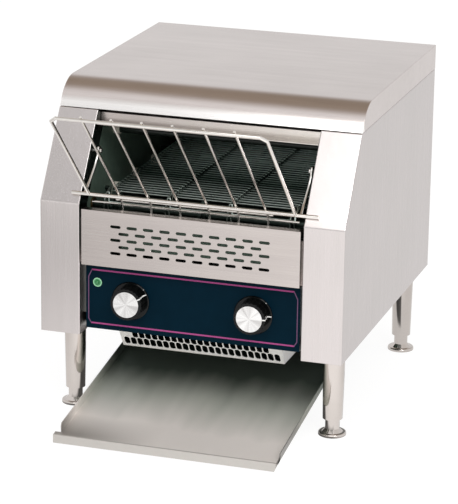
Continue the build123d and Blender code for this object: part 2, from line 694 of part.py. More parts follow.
def control_panel():
    """Folded carrier sheet and the dark film on its face."""
    half = CONTROL_HALF
    sheet_y = CONTROL_FACE + OVERLAY
    deep = sheet_y + CONTROL_FLANGE
    carrier = box(-half, half, sheet_y, sheet_y + SHEET, CONTROL_BOTTOM, CONTROL_TOP)
    carrier += box(-half, half, sheet_y, deep, CONTROL_BOTTOM, CONTROL_BOTTOM + SHEET)
    carrier += box(-half, half, sheet_y, sheet_y + FLANGE, CONTROL_TOP - SHEET, CONTROL_TOP)
    for side in (-1, 1):
        edge = sorted((side * half, side * (half - SHEET)))
        tab = sorted((side * half, side * (OPENING_HALF - LOCATING)))
        carrier += box(*edge, sheet_y, sheet_y + FLANGE, CONTROL_BOTTOM, CONTROL_TOP)
        carrier += box(*tab, sheet_y + FLANGE - SHEET, sheet_y + FLANGE,
                       CONTROL_BOTTOM + FLANGE, CONTROL_TOP)
    nodes["control_panel"] = carrier - panel_bores()
    overlay = box(-half, half, CONTROL_FACE, sheet_y, CONTROL_BOTTOM, CONTROL_TOP)
    nodes["control_overlay"] = overlay - panel_bores()


def indicator_lamp():
    """Ring on the panel and the lens pushed through it."""
    front = CONTROL_FACE - LAMP_PROUD
    ring = rod_y(front, CONTROL_FACE, LAMP_X, LAMP_Z, LAMP_RADIUS)
    nodes["lamp_bezel"] = ring - rod_y(front - CUT, CONTROL_FACE + CUT, LAMP_X, LAMP_Z,
                                       LAMP_LENS_RADIUS + LOCATING)
    lens = rod_y(front, CONTROL_FACE + LAMP_BARREL, LAMP_X, LAMP_Z, LAMP_LENS_RADIUS)
    lens += Pos(LAMP_X, front, LAMP_Z) * Sphere(LAMP_DOME_RADIUS)
    nodes["lamp_lens"] = lens


def knob(name, x):
    """Fluted knob with a pointer skirt, its metal cap and the spindle behind."""
    about = Pos(x, 0, KNOB_Z)
    skirt = rod_y(KNOB_BACK - KNOB_SKIRT, KNOB_BACK, 0, 0, KNOB_SKIRT_RADIUS)
    skirt = chamfer(skirt.edges().sort_by(Axis.Y)[0], KNOB_SKIRT_CHAMFER)
    length = KNOB_LENGTH - KNOB_SKIRT
    turned = Plane(origin=(0, KNOB_BACK - KNOB_SKIRT, 0), z_dir=(0, -1, 0))
    grip = turned * Cone(KNOB_BASE_RADIUS, KNOB_TOP_RADIUS, length,
                         align=(Align.CENTER, Align.CENTER, Align.MIN))
    flutes = []
    for index in range(KNOB_FLUTES):
        angle = 2 * math.pi * index / KNOB_FLUTES
        foot_r, top_r = KNOB_BASE_RADIUS + KNOB_FLUTE_RADIUS / 2, KNOB_TOP_RADIUS + KNOB_FLUTE_RADIUS / 2
        foot = (foot_r * math.cos(angle), KNOB_BACK - KNOB_SKIRT, foot_r * math.sin(angle))
        top = (top_r * math.cos(angle), KNOB_FRONT - CUT, top_r * math.sin(angle))
        flutes.append(rod(foot, top, KNOB_FLUTE_RADIUS))
    recess = rod_y(KNOB_FRONT - CUT, KNOB_FRONT + CAP_RECESS, 0, 0, CAP_RADIUS + LOCATING)
    socket = rod_y(KNOB_FRONT + 2 * CAP_RECESS, KNOB_BACK + CUT, 0, 0, SPINDLE_RADIUS)
    nodes[name + "_knob"] = about * (skirt + (grip - flutes) - recess - socket)
    nodes[name + "_knob_cap"] = about * rod_y(KNOB_FRONT - CAP_PROUD, KNOB_FRONT + CAP_RECESS,
                                              0, 0, CAP_RADIUS)
    spindle_end = CONTROL_BACK + SPINDLE_SOCKET - FIT
    nodes[name + "_spindle"] = about * rod_y(KNOB_FRONT + 2 * CAP_RECESS, spindle_end,
                                             0, 0, SPINDLE_RADIUS)


def controls():
    """Heat knob on the left, speed knob on the right, and their switches."""
    knob("heat", -KNOB_X)
    knob("speed", KNOB_X)
    back = CONTROL_BACK
    half = SWITCH_SIZE / 2
    socket = rod_y(back - CUT, back + SPINDLE_SOCKET, 0, 0, SPINDLE_RADIUS + RUNNING)
    selector = box(-half, half, back, back + SWITCH_DEPTH, -half, half) - socket
    nodes["heat_selector"] = Pos(-KNOB_X, 0, KNOB_Z) * selector
    governor = box(-SPEED_WIDTH / 2, SPEED_WIDTH / 2, back, back + SPEED_DEPTH,
                   -SPEED_HEIGHT / 2, SPEED_HEIGHT / 2) - socket
    nodes["speed_controller"] = Pos(KNOB_X, 0, KNOB_Z) * governor


# ------------------------------------------------------------- under and behind
def duct_front_y(z):
    """The duct's perforated front, leaning back towards its foot."""
    share = (BODY_BOTTOM - z) / DUCT_DEPTH
    return DUCT_TOP_Y + share * (DUCT_FOOT_Y - DUCT_TOP_Y)


def air_duct():
    """Open-topped box under the pan; its leaning front is the air inlet."""
    outline = [
        (DUCT_TOP_Y, BODY_BOTTOM), (DUCT_FOOT_Y, DUCT_BOTTOM),
        (DUCT_REAR, DUCT_BOTTOM), (DUCT_REAR, BODY_BOTTOM),
    ]
    lean = math.atan2(DUCT_FOOT_Y - DUCT_TOP_Y, DUCT_DEPTH)
    wall = THIN_SHEET / math.cos(lean)
    floor_z = DUCT_BOTTOM + THIN_SHEET
    rear = DUCT_REAR - THIN_SHEET
    inside = [
        (duct_front_y(BODY_BOTTOM + CUT) + wall, BODY_BOTTOM + CUT), (duct_front_y(floor_z) + wall, floor_z),
        (rear, floor_z), (rear, BODY_BOTTOM + CUT),
    ]
    duct = slab(outline, -DUCT_HALF, DUCT_HALF)
    duct -= slab(inside, -DUCT_HALF + THIN_SHEET, DUCT_HALF - THIN_SHEET)
    holes = []
    for rise, margin in ((DUCT_LOWER_ROW, DUCT_LOWER_MARGIN), (DUCT_UPPER_ROW, DUCT_UPPER_MARGIN)):
        z = DUCT_BOTTOM + rise
        for x in evenly(fitting(DUCT_HALF, margin, DUCT_HOLE_PITCH), DUCT_HOLE_PITCH):
            outline = SlotOverall(DUCT_HOLE_HEIGHT, 2 * DUCT_HOLE_RADIUS, rotation=90)
            drill = extrude(outline, 2 * THIN_SHEET, both=True)
            holes.append(Pos(x, duct_front_y(z), z) * Rot(90 + math.degrees(lean), 0, 0) * drill)
    nodes["air_duct"] = duct - holes


def chamber_floor():
    """Heat shield over the electrical bay, with a baffle, and the bay's rear wall."""
    front = CHAMBER_FLOOR_FRONT
    floor = box(-SPAN_HALF, SPAN_HALF, front, CHAMBER_FLOOR_REAR, CHAMBER_FLOOR_Z, CHAMBER_FLOOR_Z + SHEET)
    baffle = box(-BAFFLE_HALF, BAFFLE_HALF, front, front + SHEET,
                 CHAMBER_FLOOR_Z, CHAMBER_FLOOR_Z + BAFFLE_RISE)
    nodes["chamber_floor"] = floor + baffle
    outline = [
        (PAN_REAR - SHEET, FLOOR_TOP), (PAN_REAR, FLOOR_TOP),
        (CHAMBER_FLOOR_REAR, CHAMBER_FLOOR_Z), (CHAMBER_FLOOR_REAR - SHEET, CHAMBER_FLOOR_Z),
    ]
    nodes["bay_rear_wall"] = slab(outline, -SPAN_HALF, SPAN_HALF)


def return_chute():
    """Curved sheet that turns the falling toast forward, on to the tray."""
    mouth = (REAR_SHAFT_Y + CHUTE_MOUTH_BACK, BODY_BOTTOM - CHUTE_MOUTH_DROP)
    line = [(CHUTE_BACK, CHUTE_TOP), (CHUTE_BACK, CHUTE_KNEE), mouth]
    chute = bent_sheet(line, SHEET, -CHUTE_HALF, CHUTE_HALF, CHUTE_BEND)
    for side in (-1, 1):
        ear = sorted((side * CHUTE_HALF, side * SPAN_HALF))
        chute += box(*ear, CHUTE_BACK, CHUTE_BACK + SHEET, CHUTE_KNEE + CHUTE_BEND, CHUTE_TOP)
    nodes["return_chute"] = chute


def on_tray(piece):
    """Lay a piece made level, with its front edge at the origin, on the slope."""
    return Pos(TRAY_OFFSET, TRAY_FRONT, TRAY_FRONT_Z) * Rot(TRAY_TILT, 0, 0) * piece


def toast_tray():
    """Sloping tray: two low sides and a lip turned down at the front."""
    length = (TRAY_REAR - TRAY_FRONT) / TRAY_COS
    floor = box(-TRAY_HALF, TRAY_HALF, 0, length, -TRAY_SHEET, 0)
    floor += box(-TRAY_HALF - TRAY_LIP_WING, TRAY_HALF, 0, TRAY_SIDE_SETBACK, -TRAY_SHEET, 0)
    for side, height in ((-1, TRAY_SIDE), (1, TRAY_RIGHT_SIDE)):
        edge = sorted((side * TRAY_HALF, side * (TRAY_HALF - TRAY_SHEET)))
        wing = box(*edge, TRAY_SIDE_SETBACK, length, -TRAY_SHEET, height)
        corner = wing.edges().filter_by(Axis.X).group_by(Axis.Y)[0].sort_by(Axis.Z)[-1]
        floor += fillet(corner, TRAY_SIDE_RADIUS)
    left = TRAY_OFFSET - TRAY_HALF - TRAY_LIP_WING
    right = TRAY_OFFSET + TRAY_HALF
    bottom = TRAY_FRONT_Z - TRAY_LIP_HEIGHT
    outline = [
        (left, TRAY_FRONT_Z), (right, TRAY_FRONT_Z),
        (right - TRAY_LIP_MITRE, bottom), (left, bottom),
    ]
    lip = extrude(Plane.XZ.offset(-TRAY_FRONT) * make_face(Polyline(*outline, close=True)), -TRAY_SHEET)
    nodes["toast_tray"] = on_tray(floor) + lip


def tray_runner():
    """Right-hand hanger: screw flange, web and the ledge the tray slides on."""
    web_x = TRAY_HALF + RUNNER_PLAY
    under = TRAY_SHEET / TRAY_COS + FIT
    ledge = SHEET / TRAY_COS
    high = [(y, tray_z(y) - under) for y in (RUNNER_FRONT, TRAY_REAR)]
    low = [(y, z - ledge) for y, z in high]
    web = slab(low + [(TRAY_REAR, BODY_BOTTOM), (RUNNER_FRONT, BODY_BOTTOM)], web_x, web_x + SHEET)
    shelf = slab(low + high[::-1], TRAY_HALF - RUNNER_LEDGE, web_x + SHEET)
    flange = box(web_x, web_x + SHEET + RUNNER_FLANGE, RUNNER_FRONT, TRAY_REAR,
                 BODY_BOTTOM - SHEET, BODY_BOTTOM)
    return web + shelf + flange


def tray_runners():
    """The pair of hangers under the floor."""
    right = tray_runner()
    nodes["tray_runners"] = Pos(TRAY_OFFSET, 0, 0) * group([right, flipped(right)])


# ------------------------------------------------------------------------ conveyor
def belt_path_length():
    """Once round the belt, along its centre line."""
    return 2 * (REAR_SHAFT_Y - FRONT_SHAFT_Y) + 2 * math.pi * BELT_RADIUS


def belt_point(travel):
    """(y, z) of the belt's centre line, so far along from the front top."""
    straight = REAR_SHAFT_Y - FRONT_SHAFT_Y
    bend = math.pi * BELT_RADIUS
    travel = travel % belt_path_length()
    if travel < straight:
        return FRONT_SHAFT_Y + travel, BELT_TOP
    travel -= straight
    if travel < bend:
        angle = math.pi / 2 - travel / BELT_RADIUS
        return REAR_SHAFT_Y + BELT_RADIUS * math.cos(angle), SHAFT_Z + BELT_RADIUS * math.sin(angle)
    travel -= bend
    if travel < straight:
        return REAR_SHAFT_Y - travel, SHAFT_Z - BELT_RADIUS
    angle = -math.pi / 2 - (travel - straight) / BELT_RADIUS
    return FRONT_SHAFT_Y + BELT_RADIUS * math.cos(angle), SHAFT_Z + BELT_RADIUS * math.sin(angle)


def loop_band(centres, radii, thickness, x, width):
    """Closed band around two wheels, given its outer radii."""
    outer = make_hull([(Pos(y, z) * Circle(r)).edge() for (y, z), r in zip(centres, radii)])
    inner = make_hull([(Pos(y, z) * Circle(r - thickness)).edge() for (y, z), r in zip(centres, radii)])
    return extrude(Plane.YZ.offset(x - width / 2) * (outer - inner), width)


def conveyor_belt():
    """Wire belt: crosswise rods held at their pitch by narrow ties."""
    centres = [(y, SHAFT_Z) for y in shaft_places()]
    radii = [BELT_RADIUS + BELT_TIE_DEPTH / 2] * 2
    ties = [
        loop_band(centres, radii, BELT_TIE_DEPTH, x, BELT_TIE_THICKNESS)
        for x in evenly(BELT_TIES, BELT_TIE_PITCH)
    ]
    count = round(belt_path_length() / BELT_PITCH)
    rods = []
    for index in range(count):
        y, z = belt_point(belt_path_length() * index / count)
        rods.append(rod_x(-BELT_HALF, BELT_HALF, y, z, BELT_ROD_RADIUS))
    nodes["conveyor_belt"] = ties[0].fuse(*ties[1:], *rods)


def belt_sprocket_xs():
    """Sprockets run beside the belt's ties."""
    ties = evenly(BELT_TIES, BELT_TIE_PITCH)
    inset = BELT_TIE_THICKNESS + SPROCKET_THICKNESS
    return [ties[0] + inset, 0.0, ties[-1] - inset]


def belt_sprockets(y):
    """The toothed wheels on one belt shaft."""
    tip = BELT_RADIUS - BELT_ROD_RADIUS - TOOTH_CLEARANCE
    blank = toothed_disc(tip, SPROCKET_TOOTH, SPROCKET_TEETH, SPROCKET_THICKNESS)
    blank += Cylinder(SHAFT_RADIUS + SPROCKET_HUB, SPROCKET_THICKNESS * 3)
    blank -= Cylinder(SHAFT_RADIUS, SPROCKET_THICKNESS * 4)
    return group([across(blank, x, y, SHAFT_Z) for x in belt_sprocket_xs()])


def shafts():
    """Front idler, rear drive shaft and the sprockets fixed to them."""
    nodes["idler_shaft"] = rod_x(-SHAFT_REACH, SHAFT_REACH, FRONT_SHAFT_Y, SHAFT_Z, SHAFT_RADIUS)
    drive_end = CHAIN_X + SPROCKET_THICKNESS
    nodes["drive_shaft"] = rod_x(-SHAFT_REACH, drive_end, REAR_SHAFT_Y, SHAFT_Z, SHAFT_RADIUS)
    nodes["idler_belt_sprockets"] = belt_sprockets(FRONT_SHAFT_Y)
    nodes["drive_belt_sprockets"] = belt_sprockets(REAR_SHAFT_Y)


def shaft_bushes():
    """Flanged bushes pushed into the inner walls."""
    bushes = []
    for y in shaft_places():
        inner = WALL_INNER - BUSH_INNER
        outer = WALL_OUTER + BUSH_FLANGE
        barrel = rod_x(inner, WALL_OUTER, y, SHAFT_Z, BUSH_RADIUS)
        flange = rod_x(WALL_OUTER, outer, y, SHAFT_Z, BUSH_RADIUS + BUSH_FLANGE_RIM)
        bore = rod_x(inner - CUT, outer + CUT, y, SHAFT_Z, SHAFT_RADIUS + RUNNING)
        bush = barrel + flange - bore
        bushes += [bush, flipped(bush)]
    nodes["shaft_bushes"] = group(bushes)


def belt_rails():
    """Flat rails under the upper run, welded on two bars from wall to wall."""
    top = BELT_TOP - BELT_ROD_RADIUS - FIT
    low = top - RAIL_HEIGHT
    bar_z = low - RAIL_BAR_RADIUS + RAIL_WELD
    front = FRONT_SHAFT_Y + RAIL_END
    rear = REAR_SHAFT_Y - RAIL_END
    frame = []
    for x in evenly(RAIL_COUNT, BELT_TIE_PITCH):
        frame.append(box(x - RAIL_WIDTH / 2, x + RAIL_WIDTH / 2, front, rear, low, top))
    for y in (front + RAIL_BAR_INSET, rear - RAIL_BAR_INSET):
        frame.append(rod_x(-SPAN_HALF, SPAN_HALF, y, bar_z, RAIL_BAR_RADIUS))
    nodes["belt_support_frame"] = frame[0].fuse(*frame[1:])


# ------------------------------------------------------------------------- heating
def heaters():
    """Quartz tubes, the coils in them and their ceramic end caps."""
    tubes = []
    coils = []
    ends = []
    for y, z in heater_places():
        tube = rod_x(-TUBE_END, TUBE_END, y, z, TUBE_RADIUS)
        tubes.append(tube - rod_x(-TUBE_END - CUT, TUBE_END + CUT, y, z, TUBE_RADIUS - TUBE_WALL))
        coils.append(rod_x(-TUBE_END, TUBE_END, y, z, COIL_RADIUS))
        inner = OPENING_HALF - CAP_INNER
        barrel = rod_x(inner, WALL_OUTER, y, z, CAP_BARREL_RADIUS)
        flange = rod_x(WALL_OUTER, WALL_OUTER + CAP_FLANGE, y, z, CAP_BARREL_RADIUS + CAP_FLANGE_RIM)
        seat = rod_x(inner - CUT, TUBE_END, y, z, TUBE_RADIUS + LOCATING)
        end = barrel + flange - seat
        ends += [end, flipped(end)]
    nodes["heater_tubes"] = group(tubes)
    nodes["heater_coils"] = group(coils)
    nodes["heater_end_caps"] = group(ends)


def reflectors():
    """Bright sheets above the upper tubes and below the lower ones."""
    top = UPPER_REFLECTOR_Z
    front = front_y(top + THIN_SHEET, RETURN_DEPTH) + SHEET
    rear = BODY_DEPTH - UPPER_REFLECTOR_END
    low = top - UPPER_REFLECTOR_LIP
    upper = [(front, low), (front, top), (rear, top), (rear, low)]
    nodes["upper_reflector"] = bent_sheet(upper, THIN_SHEET, -SPAN_HALF, SPAN_HALF)
    base = LOWER_REFLECTOR_Z
    front = FRONT_SHAFT_Y + LOWER_REFLECTOR_END
    rear = REAR_SHAFT_Y - LOWER_REFLECTOR_END
    high = base + LOWER_REFLECTOR_LIP
    lower = [(rear, high), (rear, base), (front, base), (front, high)]
    nodes["lower_reflector"] = bent_sheet(lower, THIN_SHEET, -SPAN_HALF, SPAN_HALF)


# --------------------------------------------------------------------------- drive
def chain_sprocket(radius, teeth, bore, z):
    """One of the two wheels inside the drive chain."""
    blank = toothed_disc(radius, CHAIN_TOOTH, teeth, SPROCKET_THICKNESS)
    blank -= Cylinder(bore, SPROCKET_THICKNESS * 2)
    return across(blank, CHAIN_X, REAR_SHAFT_Y, z)


def chain_drive():
    """Two sprockets and the chain round them."""
    nodes["driven_sprocket"] = chain_sprocket(DRIVEN_RADIUS, DRIVEN_TEETH, SHAFT_RADIUS, SHAFT_Z)
    nodes["motor_sprocket"] = chain_sprocket(
        MOTOR_SPROCKET_RADIUS, MOTOR_SPROCKET_TEETH, MOTOR_SHAFT_RADIUS, MOTOR_Z)
    centres = [(REAR_SHAFT_Y, MOTOR_Z), (REAR_SHAFT_Y, SHAFT_Z)]
    reach = TOOTH_CLEARANCE + CHAIN_THICKNESS
    radii = [MOTOR_SPROCKET_RADIUS + reach, DRIVEN_RADIUS + reach]
    nodes["drive_chain"] = loop_band(centres, radii, CHAIN_THICKNESS, CHAIN_X, CHAIN_WIDTH)


def gear_motor():
    """Motor, its shaft, and the plate that stands off the inner wall."""
    y = REAR_SHAFT_Y
    near = MOTOR_PLATE_X
    far = near + MOTOR_PLATE_THICKNESS
    half = MOTOR_PLATE / 2
    plate = box(near, far, y - half, y + half, MOTOR_Z - half, MOTOR_Z + half)
    plate -= rod_x(near - CUT, far + CUT, y, MOTOR_Z, MOTOR_SHAFT_RADIUS + MOTOR_SHAFT_PLAY)
    for dy in (-STANDOFF_SPREAD, STANDOFF_SPREAD):
        for dz in (-STANDOFF_SPREAD, STANDOFF_SPREAD):
            plate += rod_x(WALL_OUTER, near, y + dy, MOTOR_Z + dz, STANDOFF_RADIUS)
    nodes["motor_bracket"] = plate
    can = rod_x(far, far + MOTOR_LENGTH, y, MOTOR_Z, MOTOR_RADIUS)
    nodes["gear_motor"] = can - rod_x(far - CUT, far + MOTOR_SOCKET, y, MOTOR_Z,
                                      MOTOR_SHAFT_RADIUS + RUNNING)
    nodes["motor_shaft"] = rod_x(CHAIN_X - SPROCKET_THICKNESS, far + MOTOR_SOCKET - FIT,
                                 y, MOTOR_Z, MOTOR_SHAFT_RADIUS)


# ---------------------------------------------------------------------------- fan
def cooling_fan():
    """Flat fan on the pan: it draws air through the duct for the bay."""
    base = FLOOR_TOP
    top = base + FAN_DEPTH
    half = FAN_SIZE / 2
    frame = box(-half, half, FAN_Y - half, FAN_Y + half, base, top)
    frame -= rod_z(base - CUT, top + CUT, 0, FAN_Y, FAN_BORE)
    strut_top = base + FAN_STRUT
    strut_half = FAN_STRUT / 2
    for index in range(FAN_STRUTS):
        strut = box(FAN_HUB_RADIUS - CUT, FAN_BORE + CUT, -strut_half, strut_half, base, strut_top)
        frame += Pos(0, FAN_Y, 0) * Rot(0, 0, 45 + 360 * index / FAN_STRUTS) * strut
    frame += rod_z(base, strut_top, 0, FAN_Y, FAN_HUB_RADIUS)
    pin_end = base + FAN_HUB_GAP
    frame -= rod_z(pin_end, strut_top + CUT, 0, FAN_Y, FAN_PIN_RADIUS + RUNNING)
    nodes["fan_frame"] = frame

    hub_base = strut_top + FAN_HUB_GAP
    hub_top = top - FAN_HUB_GAP
    tip = FAN_BORE - FAN_TIP_GAP
    reach = tip - FAN_HUB_RADIUS
    blade = Box(reach, FAN_BLADE, hub_top - hub_base - 2 * FAN_BLADE_INSET)
    middle = Pos(0, FAN_Y, (hub_base + hub_top) / 2)
    blades = []
    for index in range(FAN_BLADES):
        turn = Rot(0, 0, 360 * index / FAN_BLADES) * Pos(FAN_HUB_RADIUS + reach / 2 - CUT, 0, 0)
        blades.append(middle * turn * Rot(FAN_BLADE_ANGLE, 0, 0) * blade)
    hub = rod_z(hub_base, hub_top, 0, FAN_Y, FAN_HUB_RADIUS)
    pin = rod_z(pin_end + FIT, hub_base, 0, FAN_Y, FAN_PIN_RADIUS)
    nodes["fan_rotor"] = hub.fuse(*blades, pin)


# ------------------------------------------------------------------------ feed rack
def along_rack(distance, lift=0.0):
    """(y, z) so far up the rack from the main rod, lifted off its rods' plane."""
    foot_z = BEND_HEIGHT + RACK_MAIN_RISE
    stand_off = RACK_MAIN_RADIUS + FIT
    foot_y = front_y(foot_z - stand_off * SLOPE_SIN) - stand_off * SLOPE_COS
    y = foot_y - distance * RACK_SIN + lift * RACK_COS
    z = foot_z + distance * RACK_COS + lift * RACK_SIN
    return y, z


def rack_wire(x):
    """One bread wire: straight, then tucked down behind the slotted panel."""
    tip = along_rack(RACK_LENGTH + RACK_TIP, RACK_LIFT)
    knee = along_rack(-RACK_TAIL, RACK_LIFT)
    tuck = (knee[0] + RACK_TUCK_LEAN, knee[1] - RACK_TUCK)
    foot = (tuck[0] + RACK_DROP_LEAN, tuck[1] - RACK_DROP)
    path = [(x, *tip), (x, *knee), (x, *tuck), (x, *foot)]
    pieces = [rod(start, end, RACK_WIRE_RADIUS) for start, end in zip(path, path[1:])]
    pieces += [Pos(*point) * Sphere(RACK_WIRE_RADIUS) for point in path[1:-1]]
    return pieces, knee, tuck


def rack_arm():
    """Right arm: from the main rod back and up, hooked over its stud."""
    reach = STUD_RADIUS + FIT + RACK_FRAME_RADIUS
    points = [along_rack(0.0)]
    for rise, depth in ((ARM_LOW_RISE, ARM_LOW_DEPTH), (ARM_HIGH_RISE, ARM_HIGH_DEPTH)):
        points.append((rise * SLOPE_TAN + depth, BEND_HEIGHT + rise))
    points.append((HOOK_Y - reach, HOOK_Z - reach))
    for index in range(HOOK_STEPS + 1):
        angle = math.pi - math.pi * index / HOOK_STEPS
        points.append((HOOK_Y + reach * math.cos(angle), HOOK_Z + reach * math.sin(angle)))
    path = [(ARM_X, y, z) for y, z in points]
    pieces = [rod(start, end, RACK_FRAME_RADIUS) for start, end in zip(path, path[1:])]
    pieces += [Pos(*point) * Sphere(RACK_FRAME_RADIUS) for point in path[1:]]
    return pieces


def feed_rack():
    """Welded wire rack that leans out over the feed opening."""
    main = along_rack(0.0)
    top = along_rack(RACK_LENGTH)
    corner = along_rack(RACK_LENGTH - RACK_CORNER)
    pieces = [
        rod_x(RACK_MAIN_SHIFT - RACK_MAIN_HALF, RACK_MAIN_SHIFT + RACK_MAIN_HALF, *main, RACK_MAIN_RADIUS),
        rod_x(-RACK_TOP_HALF + RACK_CORNER, RACK_TOP_HALF - RACK_CORNER, *top, RACK_FRAME_RADIUS),
    ]
    for side in (-1, 1):
        low = (side * RACK_TOP_HALF, *main)
        high = (side * RACK_TOP_HALF, *corner)
        inner = (side * (RACK_TOP_HALF - RACK_CORNER), *top)
        pieces += [rod(low, high, RACK_FRAME_RADIUS), rod(high, inner, RACK_FRAME_RADIUS)]
        pieces += [Pos(*point) * Sphere(RACK_FRAME_RADIUS) for point in (high, inner)]
    wires = fitting(RACK_TOP_HALF, RACK_WIRE_MARGIN, RACK_WIRE_PITCH)
    for x in evenly(wires, RACK_WIRE_PITCH):
        wire, knee, tuck = rack_wire(x)
        pieces += wire
    for short, place in ((RACK_SECOND_SHORT, knee), (RACK_THIRD_SHORT, tuck)):
        half = OPENING_HALF - short
        pieces.append(rod_x(-half, half, *place, RACK_CROSS_RADIUS))
    arm = rack_arm()
    pieces += arm + [flipped(piece) for piece in arm]
    nodes["feed_rack"] = pieces[0].fuse(*pieces[1:])


def rack_studs():
    """Rivets in the cheek returns that carry the rack's hooks."""
    inner = ARM_X - RACK_FRAME_RADIUS - FIT
    stud = rod_x(inner, OPENING_HALF, HOOK_Y, HOOK_Z, STUD_RADIUS)
    stud += rod_x(inner - STUD_HEAD, inner, HOOK_Y, HOOK_Z, STUD_RADIUS + STUD_HEAD_RIM)
    nodes["rack_studs"] = group([stud, flipped(stud)])


# -------------------------------------------------------------------- legs and feet
def leg_places():
    """Where the four legs stand, by corner."""
    return {
        "front_left": (-LEG_X, LEG_FRONT_Y),
        "front_right": (LEG_X, LEG_FRONT_Y),
        "rear_left": (-LEG_X, LEG_REAR_Y),
        "rear_right": (LEG_X, LEG_REAR_Y),
    }


def legs_and_feet():
    """Tapered legs screwed to the floor, each with a screwed levelling foot."""
    bottom = (Align.CENTER, Align.CENTER, Align.MIN)
    sleeve = Pos(0, 0, LEG_LOWER_END) * Cone(
        LEG_FOOT_RADIUS, LEG_TOP_RADIUS, BODY_BOTTOM - LEG_LOWER_END, align=bottom)
    sleeve += rod_z(BODY_BOTTOM, FLOOR_TOP + LEG_STUD_RISE, 0, 0, LEG_STUD_RADIUS)
    sleeve -= rod_z(LEG_LOWER_END - CUT, LEG_LOWER_END + LEG_BORE_DEPTH, 0, 0, FOOT_STEM_RADIUS + RUNNING)
    foot = rod_z(0, FOOT_FLANGE, 0, 0, FOOT_FLANGE_RADIUS)
    foot = fillet(foot.edges().sort_by(Axis.Z)[-1], FOOT_EDGE)
    foot += Pos(0, 0, FOOT_FLANGE) * Cone(FOOT_DOME_RADIUS, FOOT_COLLAR_RADIUS,
                                          FOOT_DOME - FOOT_FLANGE, align=bottom)
    foot += rod_z(FOOT_DOME, LEG_LOWER_END - FIT, 0, 0, FOOT_COLLAR_RADIUS)
    foot += rod_z(LEG_LOWER_END - FIT, LEG_LOWER_END + FOOT_STEM_RISE, 0, 0, FOOT_STEM_RADIUS)
    nut = extrude(RegularPolygon(LEG_STUD_RADIUS + NUT_WALL, 6), NUT_HEIGHT)
    nut -= Pos(0, 0, -1) * Cylinder(LEG_STUD_RADIUS, NUT_HEIGHT + 2, align=bottom)
    for name, (x, y) in leg_places().items():
        nodes[name + "_foot"] = Pos(x, y, 0) * foot
    nodes["legs"] = group([Pos(x, y, 0) * sleeve for x, y in leg_places().values()])
    nodes["leg_nuts"] = group([Pos(x, y, FLOOR_TOP) * nut for x, y in leg_places().values()])


# ------------------------------------------------------------------------ electrics
def electrics():
    """Cable gland, terminal block and over-temperature cut-out."""
    inside = BODY_DEPTH - SHEET
    gland = rod_y(BODY_DEPTH - GLAND_TAIL, GLAND_END, GLAND_X, GLAND_Z, GLAND_RADIUS)
    gland += rod_y(BODY_DEPTH, GLAND_END, GLAND_X, GLAND_Z, GLAND_NUT_RADIUS)
    gland += rod_y(inside - GLAND_NUT, inside, GLAND_X, GLAND_Z, GLAND_NUT_RADIUS)
    gland -= rod_y(BODY_DEPTH - GLAND_TAIL - CUT, GLAND_END + CUT, GLAND_X, GLAND_Z, GLAND_BORE)
    nodes["cable_gland"] = gland

    base = FLOOR_TOP + TERMINAL_RISE
    top = base + TERMINAL_HEIGHT
    half = TERMINAL_LENGTH / 2
    block = box(-WALL_OUTER - TERMINAL_WIDTH, -WALL_OUTER, TERMINAL_Y - half, TERMINAL_Y + half, base, top)
    for y in evenly(TERMINAL_WAYS, TERMINAL_LENGTH / TERMINAL_WAYS, TERMINAL_Y):
        x = -WALL_OUTER - TERMINAL_WIDTH / 2
        block -= rod_z(top - TERMINAL_HOLE, top + CUT, x, y, TERMINAL_HOLE_RADIUS)
    nodes["terminal_block"] = block
    nodes["thermal_cutout"] = rod_x(
        -WALL_OUTER - CUTOUT_LENGTH, -WALL_OUTER,
        BODY_DEPTH - CUTOUT_SETBACK, UPPER_HEATER_Z - CUTOUT_DROP, CUTOUT_RADIUS)


# --------------------------------------------------------------------------- output
def frame_shift():
    """Move along Y that brings the origin under the middle of the machine."""
    rack_top_y = along_rack(RACK_LENGTH)[0] - RACK_FRAME_RADIUS
    return -(rack_top_y + GLAND_END) / 2


def write_nodes():
    os.makedirs("parts", exist_ok=True)
    shift = Pos(0, frame_shift(), 0)
    for name, piece in nodes.items():
        export_step(shift * piece, f"parts/{name}.step")


top_cover()
side_panels()
rear_panel()
base_plates()
inner_walls()
header_strip()
slotted_panel()
control_panel()
indicator_lamp()
controls()
air_duct()
chamber_floor()
return_chute()
toast_tray()
tray_runners()
conveyor_belt()
shafts()
shaft_bushes()
belt_rails()
heaters()
reflectors()
chain_drive()
gear_motor()
cooling_fan()
feed_rack()
rack_studs()
legs_and_feet()
electrics()
write_nodes()
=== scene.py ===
# %% [markdown]
# # A conveyor toaster in Blender
# The machine is a folded stainless steel box on four legs. Bread leans on a wire rack, rides a wire belt
# between quartz heaters and drops on a sloping tray. The measured model comes first, as a fixed frame, and
# every piece and finish is made around it, in metres, with the counter at z = 0 and the front towards -Y.

# %% Load the frame
import json
import math

import bpy
from mathutils import Matrix, Vector


